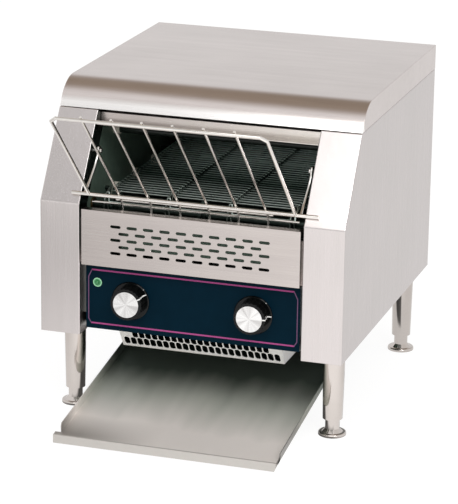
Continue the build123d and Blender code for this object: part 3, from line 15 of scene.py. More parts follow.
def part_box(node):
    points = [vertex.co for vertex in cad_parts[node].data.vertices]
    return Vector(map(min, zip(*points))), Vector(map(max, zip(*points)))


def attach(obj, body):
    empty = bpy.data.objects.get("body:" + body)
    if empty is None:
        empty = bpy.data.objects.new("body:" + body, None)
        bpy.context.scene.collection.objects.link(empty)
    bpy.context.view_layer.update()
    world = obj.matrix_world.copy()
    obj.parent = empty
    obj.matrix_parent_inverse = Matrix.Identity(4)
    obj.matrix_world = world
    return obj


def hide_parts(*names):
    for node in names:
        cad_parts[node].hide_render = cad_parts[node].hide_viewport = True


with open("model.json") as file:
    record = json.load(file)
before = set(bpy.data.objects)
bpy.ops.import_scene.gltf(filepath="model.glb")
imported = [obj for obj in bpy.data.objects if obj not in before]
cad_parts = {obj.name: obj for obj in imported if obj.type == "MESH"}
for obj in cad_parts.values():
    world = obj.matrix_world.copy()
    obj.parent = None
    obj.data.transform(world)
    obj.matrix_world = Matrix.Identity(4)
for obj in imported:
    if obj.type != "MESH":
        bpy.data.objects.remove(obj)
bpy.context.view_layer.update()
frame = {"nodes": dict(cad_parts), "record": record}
MM = 0.001

# %% [markdown]
# ## Camera
# The lens is long, as for most studio portraits of a kitchen appliance, so upright edges stay nearly
# parallel. The camera's three axes are worked out from its azimuth, elevation and a small roll, because a
# matrix says exactly where a camera looks, with no target object to keep in the file.

# %% Camera
CAMERA_PLACE = Vector((0.91027, -2.860481, 1.09952))
CAMERA_AZIMUTH = math.radians(17.65)
CAMERA_ELEVATION = math.radians(17.07)
CAMERA_ROLL = math.radians(0.85)
LENS = 186.34
FARTHEST_SEEN = 50

back = Vector((
    math.sin(CAMERA_AZIMUTH) * math.cos(CAMERA_ELEVATION),
    -math.cos(CAMERA_AZIMUTH) * math.cos(CAMERA_ELEVATION),
    math.sin(CAMERA_ELEVATION),
))
right = Vector((math.cos(CAMERA_AZIMUTH), math.sin(CAMERA_AZIMUTH), 0))
level = Matrix((right, back.cross(right), back)).transposed()
camera = bpy.data.objects.new("camera", bpy.data.cameras.new("camera"))
camera.data.lens = LENS
camera.data.clip_end = FARTHEST_SEEN
camera.matrix_world = (
    Matrix.Translation(CAMERA_PLACE) @ (level @ Matrix.Rotation(CAMERA_ROLL, 3, "Z")).to_4x4()
)
bpy.context.scene.collection.objects.link(camera)
bpy.context.scene.camera = camera
bpy.context.scene.view_settings.view_transform = "Standard"
print("camera:", LENS, "mm lens,", round(CAMERA_PLACE.length, 2), "m from the machine's foot")

# %% [markdown]
# ## Colours and nodes
# Colours are written as screen hex values, which are easy to compare, and turned to linear light for the
# shader. Every finish is a small tree of nodes, and one function adds a node, sets it and links it, so a
# finish reads like a list of what it is made of. The sockets of a Mix node share their names, so they go by
# number here.

# %% Colours and nodes
FACTOR, FLOAT_A, FLOAT_B, COLOUR_A, COLOUR_B = 0, 2, 3, 6, 7
FLOAT_RESULT, COLOUR_RESULT = 0, 2
SOFT = {"interpolation_type": "SMOOTHSTEP"}


def linear(colour):
    """Screen hex colour to linear light."""
    parts = [int(colour[i : i + 2], 16) / 255 for i in (1, 3, 5)]
    return [p / 12.92 if p <= 0.04045 else ((p + 0.055) / 1.055) ** 2.4 for p in parts] + [1.0]


def add(tree, kind, inputs=None, **settings):
    """Adds a node: settings are its properties, inputs its values, colours or links."""
    node = tree.nodes.new("ShaderNode" + kind)
    for name, value in settings.items():
        setattr(node, name, value)
    for socket, value in (inputs or {}).items():
        if isinstance(value, bpy.types.NodeSocket):
            tree.links.new(value, node.inputs[socket])
        else:
            node.inputs[socket].default_value = value
    return node


def blank(name):
    """An empty material and its node tree."""
    material = bpy.data.materials.new(name)
    material.use_nodes = True
    material.node_tree.nodes.clear()
    return material, material.node_tree


def ends(which, low, high):
    """The From or To ends of a range, as a node's inputs."""
    return {which + " Min": low, which + " Max": high}


print("white is", linear("#ffffff"))

# %% [markdown]
# ## The room
# Steel has no colour of its own to show, only what it mirrors, so the room is made first. Its walls are
# white and its ceiling darker and warmer, which gives the rolled front of the cover its band of tone. The
# rear wall is a little weaker, and a grey flag hangs up in front at the left, where the left slope looks.
# Each is a blend by how near a direction lies to its middle. The camera sees plain white everywhere.

# %% World
CEILING_TILT = math.radians(21)
CEILING_MIDDLE = (0.0, math.sin(CEILING_TILT), math.cos(CEILING_TILT))
CEILING_EDGE = (0.70, 0.94)
REAR_EDGE = (0.2, 0.8)
REAR_WALL_LIGHT = 0.87
FLAG_MIDDLE = (-0.29, -0.743, 0.592)
FLAG_EDGE = (0.94, 0.99)
FLAG_LIGHT = 0.55

world = bpy.data.worlds.new("studio")
world.use_nodes = True
studio = world.node_tree
studio.nodes.clear()
bpy.context.scene.world = world

path = add(studio, "LightPath").outputs
looking = add(studio, "TexCoord").outputs["Generated"]
over = add(studio, "VectorMath", {0: looking, 1: CEILING_MIDDLE}, operation="DOT_PRODUCT").outputs["Value"]
ceiling = add(studio, "MapRange", {"Value": over, **ends("From", *CEILING_EDGE)}, **SOFT).outputs[0]
room = add(studio, "Mix", {FACTOR: ceiling, COLOUR_A: linear("#ffffff"), COLOUR_B: linear("#a89a8b")},
           data_type="RGBA").outputs[COLOUR_RESULT]
seen = add(studio, "Mix", {FACTOR: path["Is Camera Ray"], COLOUR_A: room, COLOUR_B: linear("#ffffff")},
           data_type="RGBA").outputs[COLOUR_RESULT]
depth = add(studio, "SeparateXYZ", {0: looking}).outputs["Y"]
rear = {"Value": depth, **ends("From", *REAR_EDGE), **ends("To", 1.0, REAR_WALL_LIGHT)}
rear = add(studio, "MapRange", rear, **SOFT).outputs[0]
near = add(studio, "VectorMath", {0: looking, 1: FLAG_MIDDLE}, operation="DOT_PRODUCT").outputs["Value"]
flag = {"Value": near, **ends("From", *FLAG_EDGE), **ends("To", 1.0, FLAG_LIGHT)}
flag = add(studio, "MapRange", flag, **SOFT).outputs[0]
power = add(studio, "Math", {0: rear, 1: flag}, operation="MULTIPLY").outputs[0]
power = add(studio, "Mix", {FACTOR: path["Is Camera Ray"], FLOAT_A: power, FLOAT_B: 1.0},
            data_type="FLOAT").outputs[FLOAT_RESULT]
shown = add(studio, "Background", {"Color": seen, "Strength": power})
add(studio, "OutputWorld", {"Surface": shown.outputs[0]})
print("room: white walls, warm ceiling")

# %% [markdown]
# ## The sweep
# A sheet of white paper lies under the machine. What the steel mirrors of it is arranged like the cards in
# a studio: brighter in front and to the right, which lights the upright faces, with a soft grey card at the
# left. Straight under the machine it is dark, as in a real machine's own shade, so the legs show their
# shape. All of this is worked out from the place on the floor.

# %% What the steel mirrors of the floor
FLOOR_SIZE = 14.0
FAR_LIGHT = 1.6
RIGHT_LIGHT = 1.42
LEFT_LIGHT = 0.8
REAR_LIGHT = 0.94
UNDER_LIGHT = 0.08
SIDE_X = (-0.6, 0.05)
CARD_X = (-0.42, -0.20)
CARD_START = (-1.22, -1.02)
CARD_END = (-0.62, -0.42)
CARD_DEPTH = 0.35
REAR_Y = (-0.30, 0.15)
UNDER = {"X": (0.165, 0.185), "Y": (0.115, 0.135)}

bpy.ops.object.select_all(action="DESELECT")
bpy.ops.mesh.primitive_plane_add(size=FLOOR_SIZE, location=(0, 0, 0))
floor = bpy.context.object
floor.name = "floor"
sweep, tree = blank("white_paper_sweep")
path = add(tree, "LightPath").outputs
part = add(tree, "SeparateXYZ", {0: add(tree, "TexCoord").outputs["Object"]}).outputs

begun = add(tree, "MapRange", {"Value": part["Y"], **ends("From", *CARD_START)}, **SOFT).outputs[0]
ended = add(tree, "MapRange", {"Value": part["Y"], **ends("From", *CARD_END)}, **SOFT).outputs[0]
along = add(tree, "Math", {0: begun, 1: ended}, operation="SUBTRACT").outputs[0]
across = {"Value": part["X"], **ends("From", *CARD_X), **ends("To", CARD_DEPTH, 0.0)}
across = add(tree, "MapRange", across, **SOFT).outputs[0]
card = add(tree, "Math", {0: across, 1: along}, operation="MULTIPLY").outputs[0]
front = {"Value": part["X"], **ends("From", *SIDE_X), **ends("To", LEFT_LIGHT, RIGHT_LIGHT)}
front = add(tree, "MapRange", front).outputs[0]
front = add(tree, "Math", {0: front, 1: card}, operation="SUBTRACT").outputs[0]
front = add(tree, "Mix", {FACTOR: begun, FLOAT_A: FAR_LIGHT, FLOAT_B: front},
            data_type="FLOAT").outputs[FLOAT_RESULT]
rear = add(tree, "MapRange", {"Value": part["Y"], **ends("From", *REAR_Y)}, **SOFT).outputs[0]
lit = add(tree, "Mix", {FACTOR: rear, FLOAT_A: front, FLOAT_B: REAR_LIGHT},
          data_type="FLOAT").outputs[FLOAT_RESULT]
beside = []
for axis, edge in UNDER.items():
    distance = add(tree, "Math", {0: part[axis]}, operation="ABSOLUTE").outputs[0]
    beside.append(add(tree, "MapRange", {"Value": distance, **ends("From", *edge)}).outputs[0])
away = add(tree, "Math", {0: beside[0], 1: beside[1]}, operation="MAXIMUM").outputs[0]
away = add(tree, "MapRange", {"Value": away, **ends("To", UNDER_LIGHT, 1.0)}).outputs[0]
mirrored = add(tree, "Math", {0: lit, 1: away}, operation="MULTIPLY").outputs[0]
print("floor:", FLOOR_SIZE, "m, front light", FAR_LIGHT, "to", REAR_LIGHT, "behind")

# %% [markdown]
# ## White paper
# To the camera the paper has to be white and still take a soft shadow, so it is part glow and part plain
# matt paper, on which the shadow falls. Reflected rays see the light worked out above, and rays that only
# light the object see the matt paper, so the glow adds nothing to it.

# %% White paper
PLAIN_LIGHT = 1.1
PAPER_GLOW = 0.82

bright = add(tree, "Mix", {FACTOR: path["Is Glossy Ray"], FLOAT_A: PLAIN_LIGHT, FLOAT_B: mirrored},
             data_type="FLOAT").outputs[FLOAT_RESULT]
direct = path["Is Camera Ray"]
for ray in ("Is Glossy Ray", "Is Transmission Ray"):
    direct = add(tree, "Math", {0: direct, 1: path[ray]}, operation="MAXIMUM").outputs[0]
direct = add(tree, "Math", {0: direct, 1: PAPER_GLOW}, operation="MULTIPLY").outputs[0]
paper = add(tree, "BsdfDiffuse", {"Color": linear("#f4f3f2")})
glow = add(tree, "Emission", {"Color": linear("#ffffff"), "Strength": bright})
both = add(tree, "MixShader", {0: direct, 1: paper.outputs[0], 2: glow.outputs[0]})
add(tree, "OutputMaterial", {"Surface": both.outputs[0]})
floor.data.materials.append(sweep)
print("paper:", PAPER_GLOW, "of it glows to the camera")

# %% [markdown]
# ## The lamps
# One large softbox stands in front, high and to the right. A big lamp close by gives soft edges to every
# highlight, and its mirror image is what makes the sloping right cheek almost white. A narrow strip beside
# it adds almost no light, but shows as a small white glint on wires and polished knobs.


# %% Lamps
def softbox(name, place, target, width, height, power):
    """A soft rectangular lamp that faces a point."""
    lamp = bpy.data.lights.new(name, "AREA")
    lamp.shape = "RECTANGLE"
    lamp.size, lamp.size_y, lamp.energy = width, height, power
    holder = bpy.data.objects.new(name, lamp)
    holder.location = place
    holder.rotation_euler = (Vector(target) - Vector(place)).to_track_quat("-Z", "Y").to_euler()
    holder.visible_camera = False
    bpy.context.scene.collection.objects.link(holder)


softbox("front_softbox", place=(0.36, -1.25, 1.45), target=(0, -0.1, 0.25),
        width=1.5, height=1.0, power=8.5)
softbox("glint_strip", place=(0.95, -0.9, 1.15), target=(0, -0.1, 0.15),
        width=0.6, height=0.06, power=3.4)

# %% [markdown]
# ## Brushed stainless steel
# The casing is sheet steel of the 18/8 kind, drawn through a grit belt, which leaves fine parallel lines.
# They blur a reflection along one direction and leave it nearly mirror-like along the other. Wider streaks
# are the marks of a wiping cloth, and faint clouds are the unevenness of the rolled sheet. Three noises
# added up make the tone, because each has its own real size. Faces marked with the "shade" attribute get
# a painted shade, and a painted highlight blends in where a sheet turns towards the light.

# %% Brushed steel
# Real grit lines are a tenth of a millimetre wide, too fine to show, so they are drawn about ten times
# coarser and faint.
GRAIN_WIDTH = 0.9 * MM
GRAIN_LENGTH = 60 * MM
WIPE_WIDTH = 9 * MM
WIPE_LENGTH = 130 * MM
CLOUD_SIZE = 90 * MM
NOISE_SUM = (1.05, 1.95)
GRAIN_RELIEF = 0.03
GRAIN_DEPTH = 0.05 * MM
ROUGHNESS_SPREAD = 0.04
ACROSS, LENGTHWISE, UPRIGHT = 0, 1, 2
SHADED_STEEL = "#2b352f"


def streaks(tree, place, along, width, length):
    """Noise drawn out along one axis."""
    scale = [1 / width] * 3
    scale[along] = 1 / length
    drawn = add(tree, "Mapping", {"Vector": place, "Scale": scale}).outputs[0]
    return add(tree, "TexNoise", {"Vector": drawn, "Scale": 1.0, "Detail": 2.0}).outputs[0]


def brushed(name, light, dark, along, roughness, metallic=1.0, shade_band=None, painted_light=None):
    """Steel sheet with grit lines along one axis.

    shade_band: heights between which marked faces take the painted shade; fade: direction, start, end and
    colour of a painted highlight.
    """
    material, tree = blank(name)
    place = add(tree, "TexCoord").outputs["Object"]
    lines = streaks(tree, place, along, GRAIN_WIDTH, GRAIN_LENGTH)
    wipes = streaks(tree, place, along, WIPE_WIDTH, WIPE_LENGTH)
    clouds = add(tree, "TexNoise", {"Vector": place, "Scale": 1 / CLOUD_SIZE, "Detail": 2.0}).outputs[0]
    layers = add(tree, "Math", {0: lines, 1: wipes}, operation="ADD").outputs[0]
    layers = add(tree, "Math", {0: layers, 1: clouds}, operation="ADD").outputs[0]
    tone = add(tree, "MapRange", {"Value": layers, **ends("From", *NOISE_SUM)}).outputs[0]
    colour = add(tree, "Mix", {FACTOR: tone, COLOUR_A: linear(dark), COLOUR_B: linear(light)},
                 data_type="RGBA").outputs[COLOUR_RESULT]
    # painted highlight: the colour blends towards a lighter tint along one direction
    if painted_light:
        way, start, end, tint = painted_light
        reach = add(tree, "VectorMath", {0: place, 1: way}, operation="DOT_PRODUCT").outputs["Value"]
        reach = add(tree, "MapRange", {"Value": reach, **ends("From", start, end)}).outputs[0]
        colour = add(tree, "Mix", {FACTOR: reach, COLOUR_A: colour, COLOUR_B: linear(tint)},
                     data_type="RGBA").outputs[COLOUR_RESULT]
    # painted shade: faces marked "shade" turn dark green grey, within the given band of heights if there is
    # one
    shade = add(tree, "Attribute", attribute_name="shade").outputs["Fac"]
    if shade_band:
        rise = add(tree, "SeparateXYZ", {0: place}).outputs["Z"]
        rise = add(tree, "MapRange", {"Value": rise, **ends("From", *shade_band)}).outputs[0]
        shade = add(tree, "Math", {0: shade, 1: rise}, operation="MULTIPLY").outputs[0]
    colour = add(tree, "Mix", {FACTOR: shade, COLOUR_A: colour, COLOUR_B: linear(SHADED_STEEL)},
                 data_type="RGBA").outputs[COLOUR_RESULT]
    worn = ends("To", roughness - ROUGHNESS_SPREAD, roughness + ROUGHNESS_SPREAD)
    relief = add(tree, "Bump", {"Height": lines, "Strength": GRAIN_RELIEF, "Distance": GRAIN_DEPTH})
    shader = add(tree, "BsdfPrincipled", {
        "Base Color": colour,
        "Metallic": metallic,
        "Roughness": add(tree, "MapRange", {"Value": lines, **worn}).outputs[0],
        "Normal": relief.outputs[0],
    })
    add(tree, "OutputMaterial", {"Surface": shader.outputs[0]})
    return material


print("grit lines:", GRAIN_WIDTH / MM, "mm wide")

# %% [markdown]
# ## The casing's sheets
# One sheet of steel looks different on each face of the machine, because the brushing runs another way and
# the face mirrors another part of the room. So each group of panels has its own direction, and its own
# tone, lighter or darker, which is painted light for what that face mirrors. The same function makes them
# all, which keeps them one family.

# %% The casing's finishes
# heights above which the marked folds into the mouth take the painted shade
SHADE_HEIGHTS = (195 * MM, 215 * MM)
# painted highlight: the cover whitens towards its lower front edge
HEM_PAINTED_HIGHLIGHT = ((0, 3, 1), 142 * MM, 124 * MM, "#fffcfa")
# painted light: the header grows lighter to the right
HEADER_PAINTED_LIGHT = ((1, 0, 0), -90 * MM, 130 * MM, "#d3cdc7")

finishes = {
    # smoothest of the sheets: the roll at its front gathers the room into clear bands of tone, and a
    # painted highlight whitens its lower front edge
    "cover": brushed("brushed_cover_steel", "#d5ccc9", "#c9c0bd", ACROSS, 0.2, painted_light=HEM_PAINTED_HIGHLIGHT),
    # a satin front face, whose level grain runs along the rows of slots
    "steel_across": brushed("brushed_steel_across", "#c3bbb7", "#b9b1ae", ACROSS, 0.26),
    # painted shade for the cover's shade over it, and painted light that brightens it to the right
    "header": brushed("brushed_header_steel", "#b6aeaa", "#aca4a0", ACROSS, 0.28, painted_light=HEADER_PAINTED_LIGHT),
    # upright grain makes the sides soft from left to right; their folds into the mouth take a painted shade
    "steel_upright": brushed("brushed_steel_upright", "#cec7c6", "#c7c1bf", UPRIGHT, 0.26,
                             shade_band=SHADE_HEIGHTS),
    # dull and green grey, with hardly a reflection left, as steel that has been hot for years
    "chamber": brushed("heat_darkened_steel", "#74897b", "#5c7063", ACROSS, 0.55, 0.6),
    # a pale matt sheet, whiter than the other steel as painted light for its leaning face, so that the dark
    # holes in it read clearly
    "duct": brushed("brushed_duct_steel", "#ffffff", "#f4f1ee", ACROSS, 0.45, 0.35),
}
print("finishes:", list(finishes))

# %% [markdown]
# ## The tray's steel
# The tray is dulled by crumbs and cloths, so it scatters more than it mirrors. Its back end sits under the
# body, in its shade, so a painted shade follows its place along the machine: light bed, grey middle, dark
# rear. A slow noise moves the borders to and fro. The folded front lip and the right side get a little
# painted shade, because they stand upright, and the left front corner gets a painted shade too.

# %% Tray steel
TRAY_LIGHT_Y = -185 * MM
TRAY_MID_Y = -122 * MM
TRAY_DARK_Y = -50 * MM
TRAY_LEFT_X = (-105 * MM, -10 * MM)
TRAY_LEFT_Y = (-228 * MM, -185 * MM)
BORDER_WANDER = 14 * MM
BORDER_NOISE = (0.3, 0.7)
BORDER_WIDTH = 40 * MM
BORDER_LENGTH = 260 * MM
tray_low, tray_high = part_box("toast_tray")
TRAY_LIP_Y = (tray_low.y + 1.5 * MM, tray_low.y + 3 * MM)
TRAY_SIDE_X = (tray_high.x - 3 * MM, tray_high.x - 1.5 * MM)

material, tree = blank("satin_tray_steel")
place = add(tree, "TexCoord").outputs["Object"]
lines = streaks(tree, place, ACROSS, GRAIN_WIDTH, GRAIN_LENGTH)
bands = streaks(tree, place, LENGTHWISE, BORDER_WIDTH, BORDER_LENGTH)
part = add(tree, "SeparateXYZ", {0: place}).outputs
wander = {"Value": bands, **ends("From", *BORDER_NOISE), **ends("To", -BORDER_WANDER, BORDER_WANDER)}
wander = add(tree, "MapRange", wander).outputs[0]
depth = add(tree, "Math", {0: part["Y"], 1: wander}, operation="ADD").outputs[0]


def fading(value, start, end):
    """One at start, falling to nothing at end."""
    inputs = {"Value": value, **ends("From", start, end), **ends("To", 1.0, 0.0)}
    return add(tree, "MapRange", inputs).outputs[0]


# painted shade on the tray's left front corner
left = add(tree, "Math", {0: fading(part["X"], *TRAY_LEFT_X), 1: fading(part["Y"], *TRAY_LEFT_Y)},
           operation="MULTIPLY").outputs[0]
# painted shade on the upright right side
side = add(tree, "MapRange", {"Value": part["X"], **ends("From", *TRAY_SIDE_X)}).outputs[0]
# painted shade under the body, from the middle to the rear
rear = add(tree, "MapRange", {"Value": depth, **ends("From", TRAY_MID_Y, TRAY_DARK_Y)}).outputs[0]
# painted tones in turn: shade at the left front, on the lip and the right side, light bed to grey middle,
# shade at the rear
tone = linear("#f4eee9")
for share, under, tint in (
    (left, None, "#a09b96"), (fading(part["Y"], *TRAY_LIP_Y), None, "#bfbbb6"), (side, None, "#8b8884"),
    (fading(depth, TRAY_LIGHT_Y, TRAY_MID_Y), "#bec0b7", None), (rear, None, "#505a52"),
):
    pair = {COLOUR_A: linear(under) if under else tone, COLOUR_B: linear(tint) if tint else tone}
    tone = add(tree, "Mix", {FACTOR: share, **pair}, data_type="RGBA").outputs[COLOUR_RESULT]
relief = add(tree, "Bump", {"Height": lines, "Strength": 2 * GRAIN_RELIEF, "Distance": GRAIN_DEPTH})
shader = add(tree, "BsdfPrincipled", {
    "Base Color": tone,
    "Metallic": 0.55,
    "Roughness": add(tree, "MapRange", {"Value": lines, **ends("To", 0.40, 0.50)}).outputs[0],
    "Normal": relief.outputs[0],
})
add(tree, "OutputMaterial", {"Surface": shader.outputs[0]})
finishes["tray"] = material
print("tray: light to y", TRAY_LIGHT_Y, "and darkest from", TRAY_DARK_Y)

# %% [markdown]
# ## Plated, turned and drawn metal
# Hidden sheets are zinc plated, with the soft grey crystals that the bath leaves. Shafts and sprockets are
# turned, wires are drawn and polished, and what sits by the heaters is painted dark green for the shade of
# the mouth. All are one metal with a fine speckle of tone and relief, so one function makes them, at each
# one's own size of speckle.


# %% Plated, turned and drawn metal
def metal(name, light, dark, grain, roughness, relief=0.05):
    """Metal with an even, fine variation of tone and relief."""
    material, tree = blank(name)
    place = add(tree, "TexCoord").outputs["Object"]
    specks = add(tree, "TexNoise", {"Vector": place, "Scale": 1 / grain, "Detail": 3.0}).outputs[0]
    worn = ends("To", roughness - ROUGHNESS_SPREAD, roughness + ROUGHNESS_SPREAD)
    bumps = add(tree, "Bump", {"Height": specks, "Strength": relief, "Distance": 0.1 * MM})
    shader = add(tree, "BsdfPrincipled", {
        "Base Color": add(tree, "Mix", {FACTOR: specks, COLOUR_A: linear(dark), COLOUR_B: linear(light)},
                          data_type="RGBA").outputs[COLOUR_RESULT],
        "Metallic": 1.0,
        "Roughness": add(tree, "MapRange", {"Value": specks, **worn}).outputs[0],
        "Normal": bumps.outputs[0],
    })
    add(tree, "OutputMaterial", {"Surface": shader.outputs[0]})
    return material


# cloudy and dull, a workshop grey
finishes["plated"] = metal("zinc_plated_sheet", "#b9bcbb", "#9da19f", 9 * MM, 0.42)
# clean and fairly bright, with a soft edge to each highlight
finishes["turned"] = metal("turned_steel", "#b8b4b0", "#9d9995", 2 * MM, 0.3)
# nearly a mirror: thin white glints run along each wire
finishes["wire"] = metal("polished_steel_wire", "#e6e2dd", "#d8d3ce", 4 * MM, 0.08, 0.02)
# nearly a mirror too, which shows as bright and dark streaks down a round leg
finishes["leg"] = metal("polished_leg_steel", "#cfc8c3", "#c3bbb6", 30 * MM, 0.08, 0.02)
# the cool shine of new nuts and screws
finishes["zinc"] = metal("bright_zinc", "#c3c4bf", "#adaea9", 3 * MM, 0.3)
# brown and grainy, darkened by the oil in its pores
finishes["bronze"] = metal("oiled_sintered_bronze", "#6b5a40", "#54462f", 0.8 * MM, 0.5, 0.15)
# matt and almost black, from the oxide on a hot wire
finishes["coil"] = metal("oxidised_coil_wire", "#4a433e", "#352f2b", 1.5 * MM, 0.55, 0.1)
# dark, with the wet look of oil
finishes["chain"] = metal("oiled_chain_steel", "#55544f", "#3c3b38", 2 * MM, 0.35, 0.08)
# painted shade: green black, so that the mouth stays dark behind the belt
finishes["reflector"] = metal("reflector_sheet_painted_shade", "#34403a", "#26302b", 20 * MM, 0.45, 0.03)
# the same painted shade on thicker, smoother parts
finishes["shaded"] = metal("steel_parts_painted_shade", "#3d4642", "#2c3430", 3 * MM, 0.4, 0.05)
# a bright rim, with the green of the lens inside it painted on as a reflection
finishes["ring"] = metal("lamp_ring_metal", "#a6dcb4", "#8cc99c", 3 * MM, 0.25, 0.02)
print("finishes:", len(finishes))

# %% [markdown]
# ## Belt wire
# The belt is plain steel wire, and its tone is painted light and shade. It is pale by the mouth, turns
# dark green grey just inside, where the shade falls, and lightens a little at the far end, where more light
# falls on it from behind. So its tone follows its place along the machine, at three stops.

# %% Belt wire
BELT_PALE_Y = -85 * MM
BELT_DARK_Y = -15 * MM
BELT_FAR_Y = 100 * MM
BELT_SPECK = 5 * MM

# satin wire with painted light and shade: bright dashes by the mouth, dim ones inside
material, tree = blank("belt_wire_painted_shade")
place = add(tree, "TexCoord").outputs["Object"]
depth = add(tree, "SeparateXYZ", {0: place}).outputs["Y"]
specks = add(tree, "TexNoise", {"Vector": place, "Scale": 1 / BELT_SPECK, "Detail": 3.0}).outputs[0]
pale = add(tree, "Mix", {FACTOR: specks, COLOUR_A: linear("#99a49d"), COLOUR_B: linear("#b5beb8")},
           data_type="RGBA").outputs[COLOUR_RESULT]
# painted shade: the wire darkens from the mouth inwards
heat = add(tree, "MapRange", {"Value": depth, **ends("From", BELT_PALE_Y, BELT_DARK_Y)}).outputs[0]
# painted light: it lightens again towards the far end
far = add(tree, "MapRange", {"Value": depth, **ends("From", BELT_DARK_Y, BELT_FAR_Y)}).outputs[0]
inside = add(tree, "Mix", {FACTOR: far, COLOUR_A: linear("#42514a"), COLOUR_B: linear("#a4b4ac")},
             data_type="RGBA").outputs[COLOUR_RESULT]
tinted = add(tree, "Mix", {FACTOR: heat, COLOUR_A: pale, COLOUR_B: inside},
             data_type="RGBA").outputs[COLOUR_RESULT]
shader = add(tree, "BsdfPrincipled", {
    "Base Color": tinted,
    "Metallic": 1.0,
    "Roughness": add(tree, "MapRange", {"Value": specks, **ends("To", 0.28, 0.36)}).outputs[0],
})
add(tree, "OutputMaterial", {"Surface": shader.outputs[0]})
finishes["belt"] = material
print("belt wire: pale to y", BELT_PALE_Y, "and dark from", BELT_DARK_Y)

# %% [markdown]
# ## Plastics, ceramic and paint
# Moulded plastic is never quite one colour or quite smooth: a faint mottling and a fine orange peel say
# moulded. Phenolic knobs are polished in their mould, so they are almost black with sharp, weak highlights.
# Ceramic, enamel and glass differ from them only in grain, roughness and what light passes through.


# %% Plastics, ceramic and paint
def moulded(name, light, dark, grain, roughness, relief, **more):
    """A non-metal with a faint mottling and a fine relief."""
    material, tree = blank(name)
    place = add(tree, "TexCoord").outputs["Object"]
    specks = add(tree, "TexNoise", {"Vector": place, "Scale": 1 / grain, "Detail": 2.0}).outputs[0]
    worn = ends("To", roughness - ROUGHNESS_SPREAD, roughness + ROUGHNESS_SPREAD)
    bumps = add(tree, "Bump", {"Height": specks, "Strength": relief, "Distance": 0.05 * MM})
    shader = add(tree, "BsdfPrincipled", {
        "Base Color": add(tree, "Mix", {FACTOR: specks, COLOUR_A: linear(dark), COLOUR_B: linear(light)},
                          data_type="RGBA").outputs[COLOUR_RESULT],
        "Roughness": add(tree, "MapRange", {"Value": specks, **worn}).outputs[0],
        "Normal": bumps.outputs[0],
        **more,
    })
    add(tree, "OutputMaterial", {"Surface": shader.outputs[0]})
    return material


# black with sharp but weak highlights
finishes["black"] = moulded("gloss_black_phenolic", "#07090a", "#040505", 2 * MM, 0.09, 0.03,
                            **{"Specular IOR Level": 0.22})
# a soft dark grey without shine
finishes["switch"] = moulded("moulded_black_nylon", "#26262a", "#1b1b1d", 1.2 * MM, 0.5, 0.2)
# cream and chalky
finishes["ceramic"] = moulded("steatite_ceramic", "#e9e4d8", "#d9d3c5", 1.5 * MM, 0.5, 0.2)
# an even machine grey under a thin gloss
finishes["paint"] = moulded("grey_enamel", "#92959a", "#84878b", 6 * MM, 0.35, 0.1,
                            **{"Coat Weight": 0.3})
# lets some light into its depth, so the lens glows a little
finishes["green"] = moulded("clear_green_lens", "#49b56c", "#2a8548", 1.2 * MM, 0.12, 0.1,
                            **{"Transmission Weight": 0.35, "IOR": 1.5, "Coat Weight": 0.5})
# plain white paint, so that the pointer reads from afar
finishes["white_line"] = moulded("white_filled_line", "#f6f6f4", "#eeeeec", 1 * MM, 0.4, 0.05)
# painted shade: glass made grey, so that it hardly shines in the dark chamber
finishes["quartz"] = moulded("quartz_painted_shade", "#2b3530", "#202823", 6 * MM, 0.25, 0.03,
                             **{"Transmission Weight": 0.4, "IOR": 1.46, "Specular IOR Level": 0.2})
print("finishes:", len(finishes))

# %% [markdown]
# ## Control film
# The film is dark blue polyester, printed on its back, so its thin magenta line is flat and lies under the
# surface. A line could be a mesh, but a printed one has no thickness, so it is drawn from distances: how
# far a point is outside a rectangle with its corners cut off.

# %% Distance from the printed line
LINE_HALF = (127.5 * MM, 32.7 * MM)
TOP_CUT = (4.3 * MM, 9.0 * MM)
BOTTOM_CUT = (3.2 * MM, 5.0 * MM)

film_low, film_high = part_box("control_overlay")
film_middle = (film_low + film_high) / 2
material, tree = blank("printed_control_film")
place = add(tree, "TexCoord").outputs["Object"]
centred = add(tree, "Mapping", {"Vector": place, "Location": -film_middle}).outputs[0]
part = add(tree, "SeparateXYZ", {0: centred}).outputs
past = []
for axis, reach in zip("XZ", LINE_HALF):
    from_middle = add(tree, "Math", {0: part[axis]}, operation="ABSOLUTE").outputs[0]
    past.append(add(tree, "Math", {0: from_middle, 1: reach}, operation="SUBTRACT").outputs[0])
beside, above = past


def cut_corner(cut):
    """Distance outside the slanting line that cuts a corner off."""
    reach = math.hypot(*cut)
    level = add(tree, "Math", {0: beside, 1: cut[1] / reach}, operation="MULTIPLY").outputs[0]
    upright = add(tree, "Math", {0: above, 1: cut[0] / reach}, operation="MULTIPLY").outputs[0]
    slant = add(tree, "Math", {0: level, 1: upright}, operation="ADD").outputs[0]
    return add(tree, "Math", {0: slant, 1: cut[0] * cut[1] / reach}, operation="ADD").outputs[0]


upper = add(tree, "Math", {0: part["Z"], 1: 0.0}, operation="GREATER_THAN").outputs[0]
slant = add(tree, "Mix", {FACTOR: upper, FLOAT_A: cut_corner(BOTTOM_CUT), FLOAT_B: cut_corner(TOP_CUT)},
            data_type="FLOAT").outputs[FLOAT_RESULT]
sides = add(tree, "Math", {0: beside, 1: slant}, operation="MAXIMUM").outputs[0]
outside = add(tree, "Math", {0: sides, 1: above}, operation="MAXIMUM").outputs[0]
print("film:", [round(v / MM, 1) for v in film_high - film_low])

# %% [markdown]
# ## Ink and film
# Where a point is nearer to the outline than half the line's width, it is ink. The upright runs are
# printed thinner and fainter than the level ones. The film beneath is semi-matt, with a mottling so faint
# that it only keeps the dark blue from looking flat.

# %% Ink and film
LINE_WIDTH = 1.9 * MM
UPRIGHT_WIDTH = 1.1 * MM
CORNER_SLACK = 0.2 * MM
MOTTLE_SCALE = 60.0

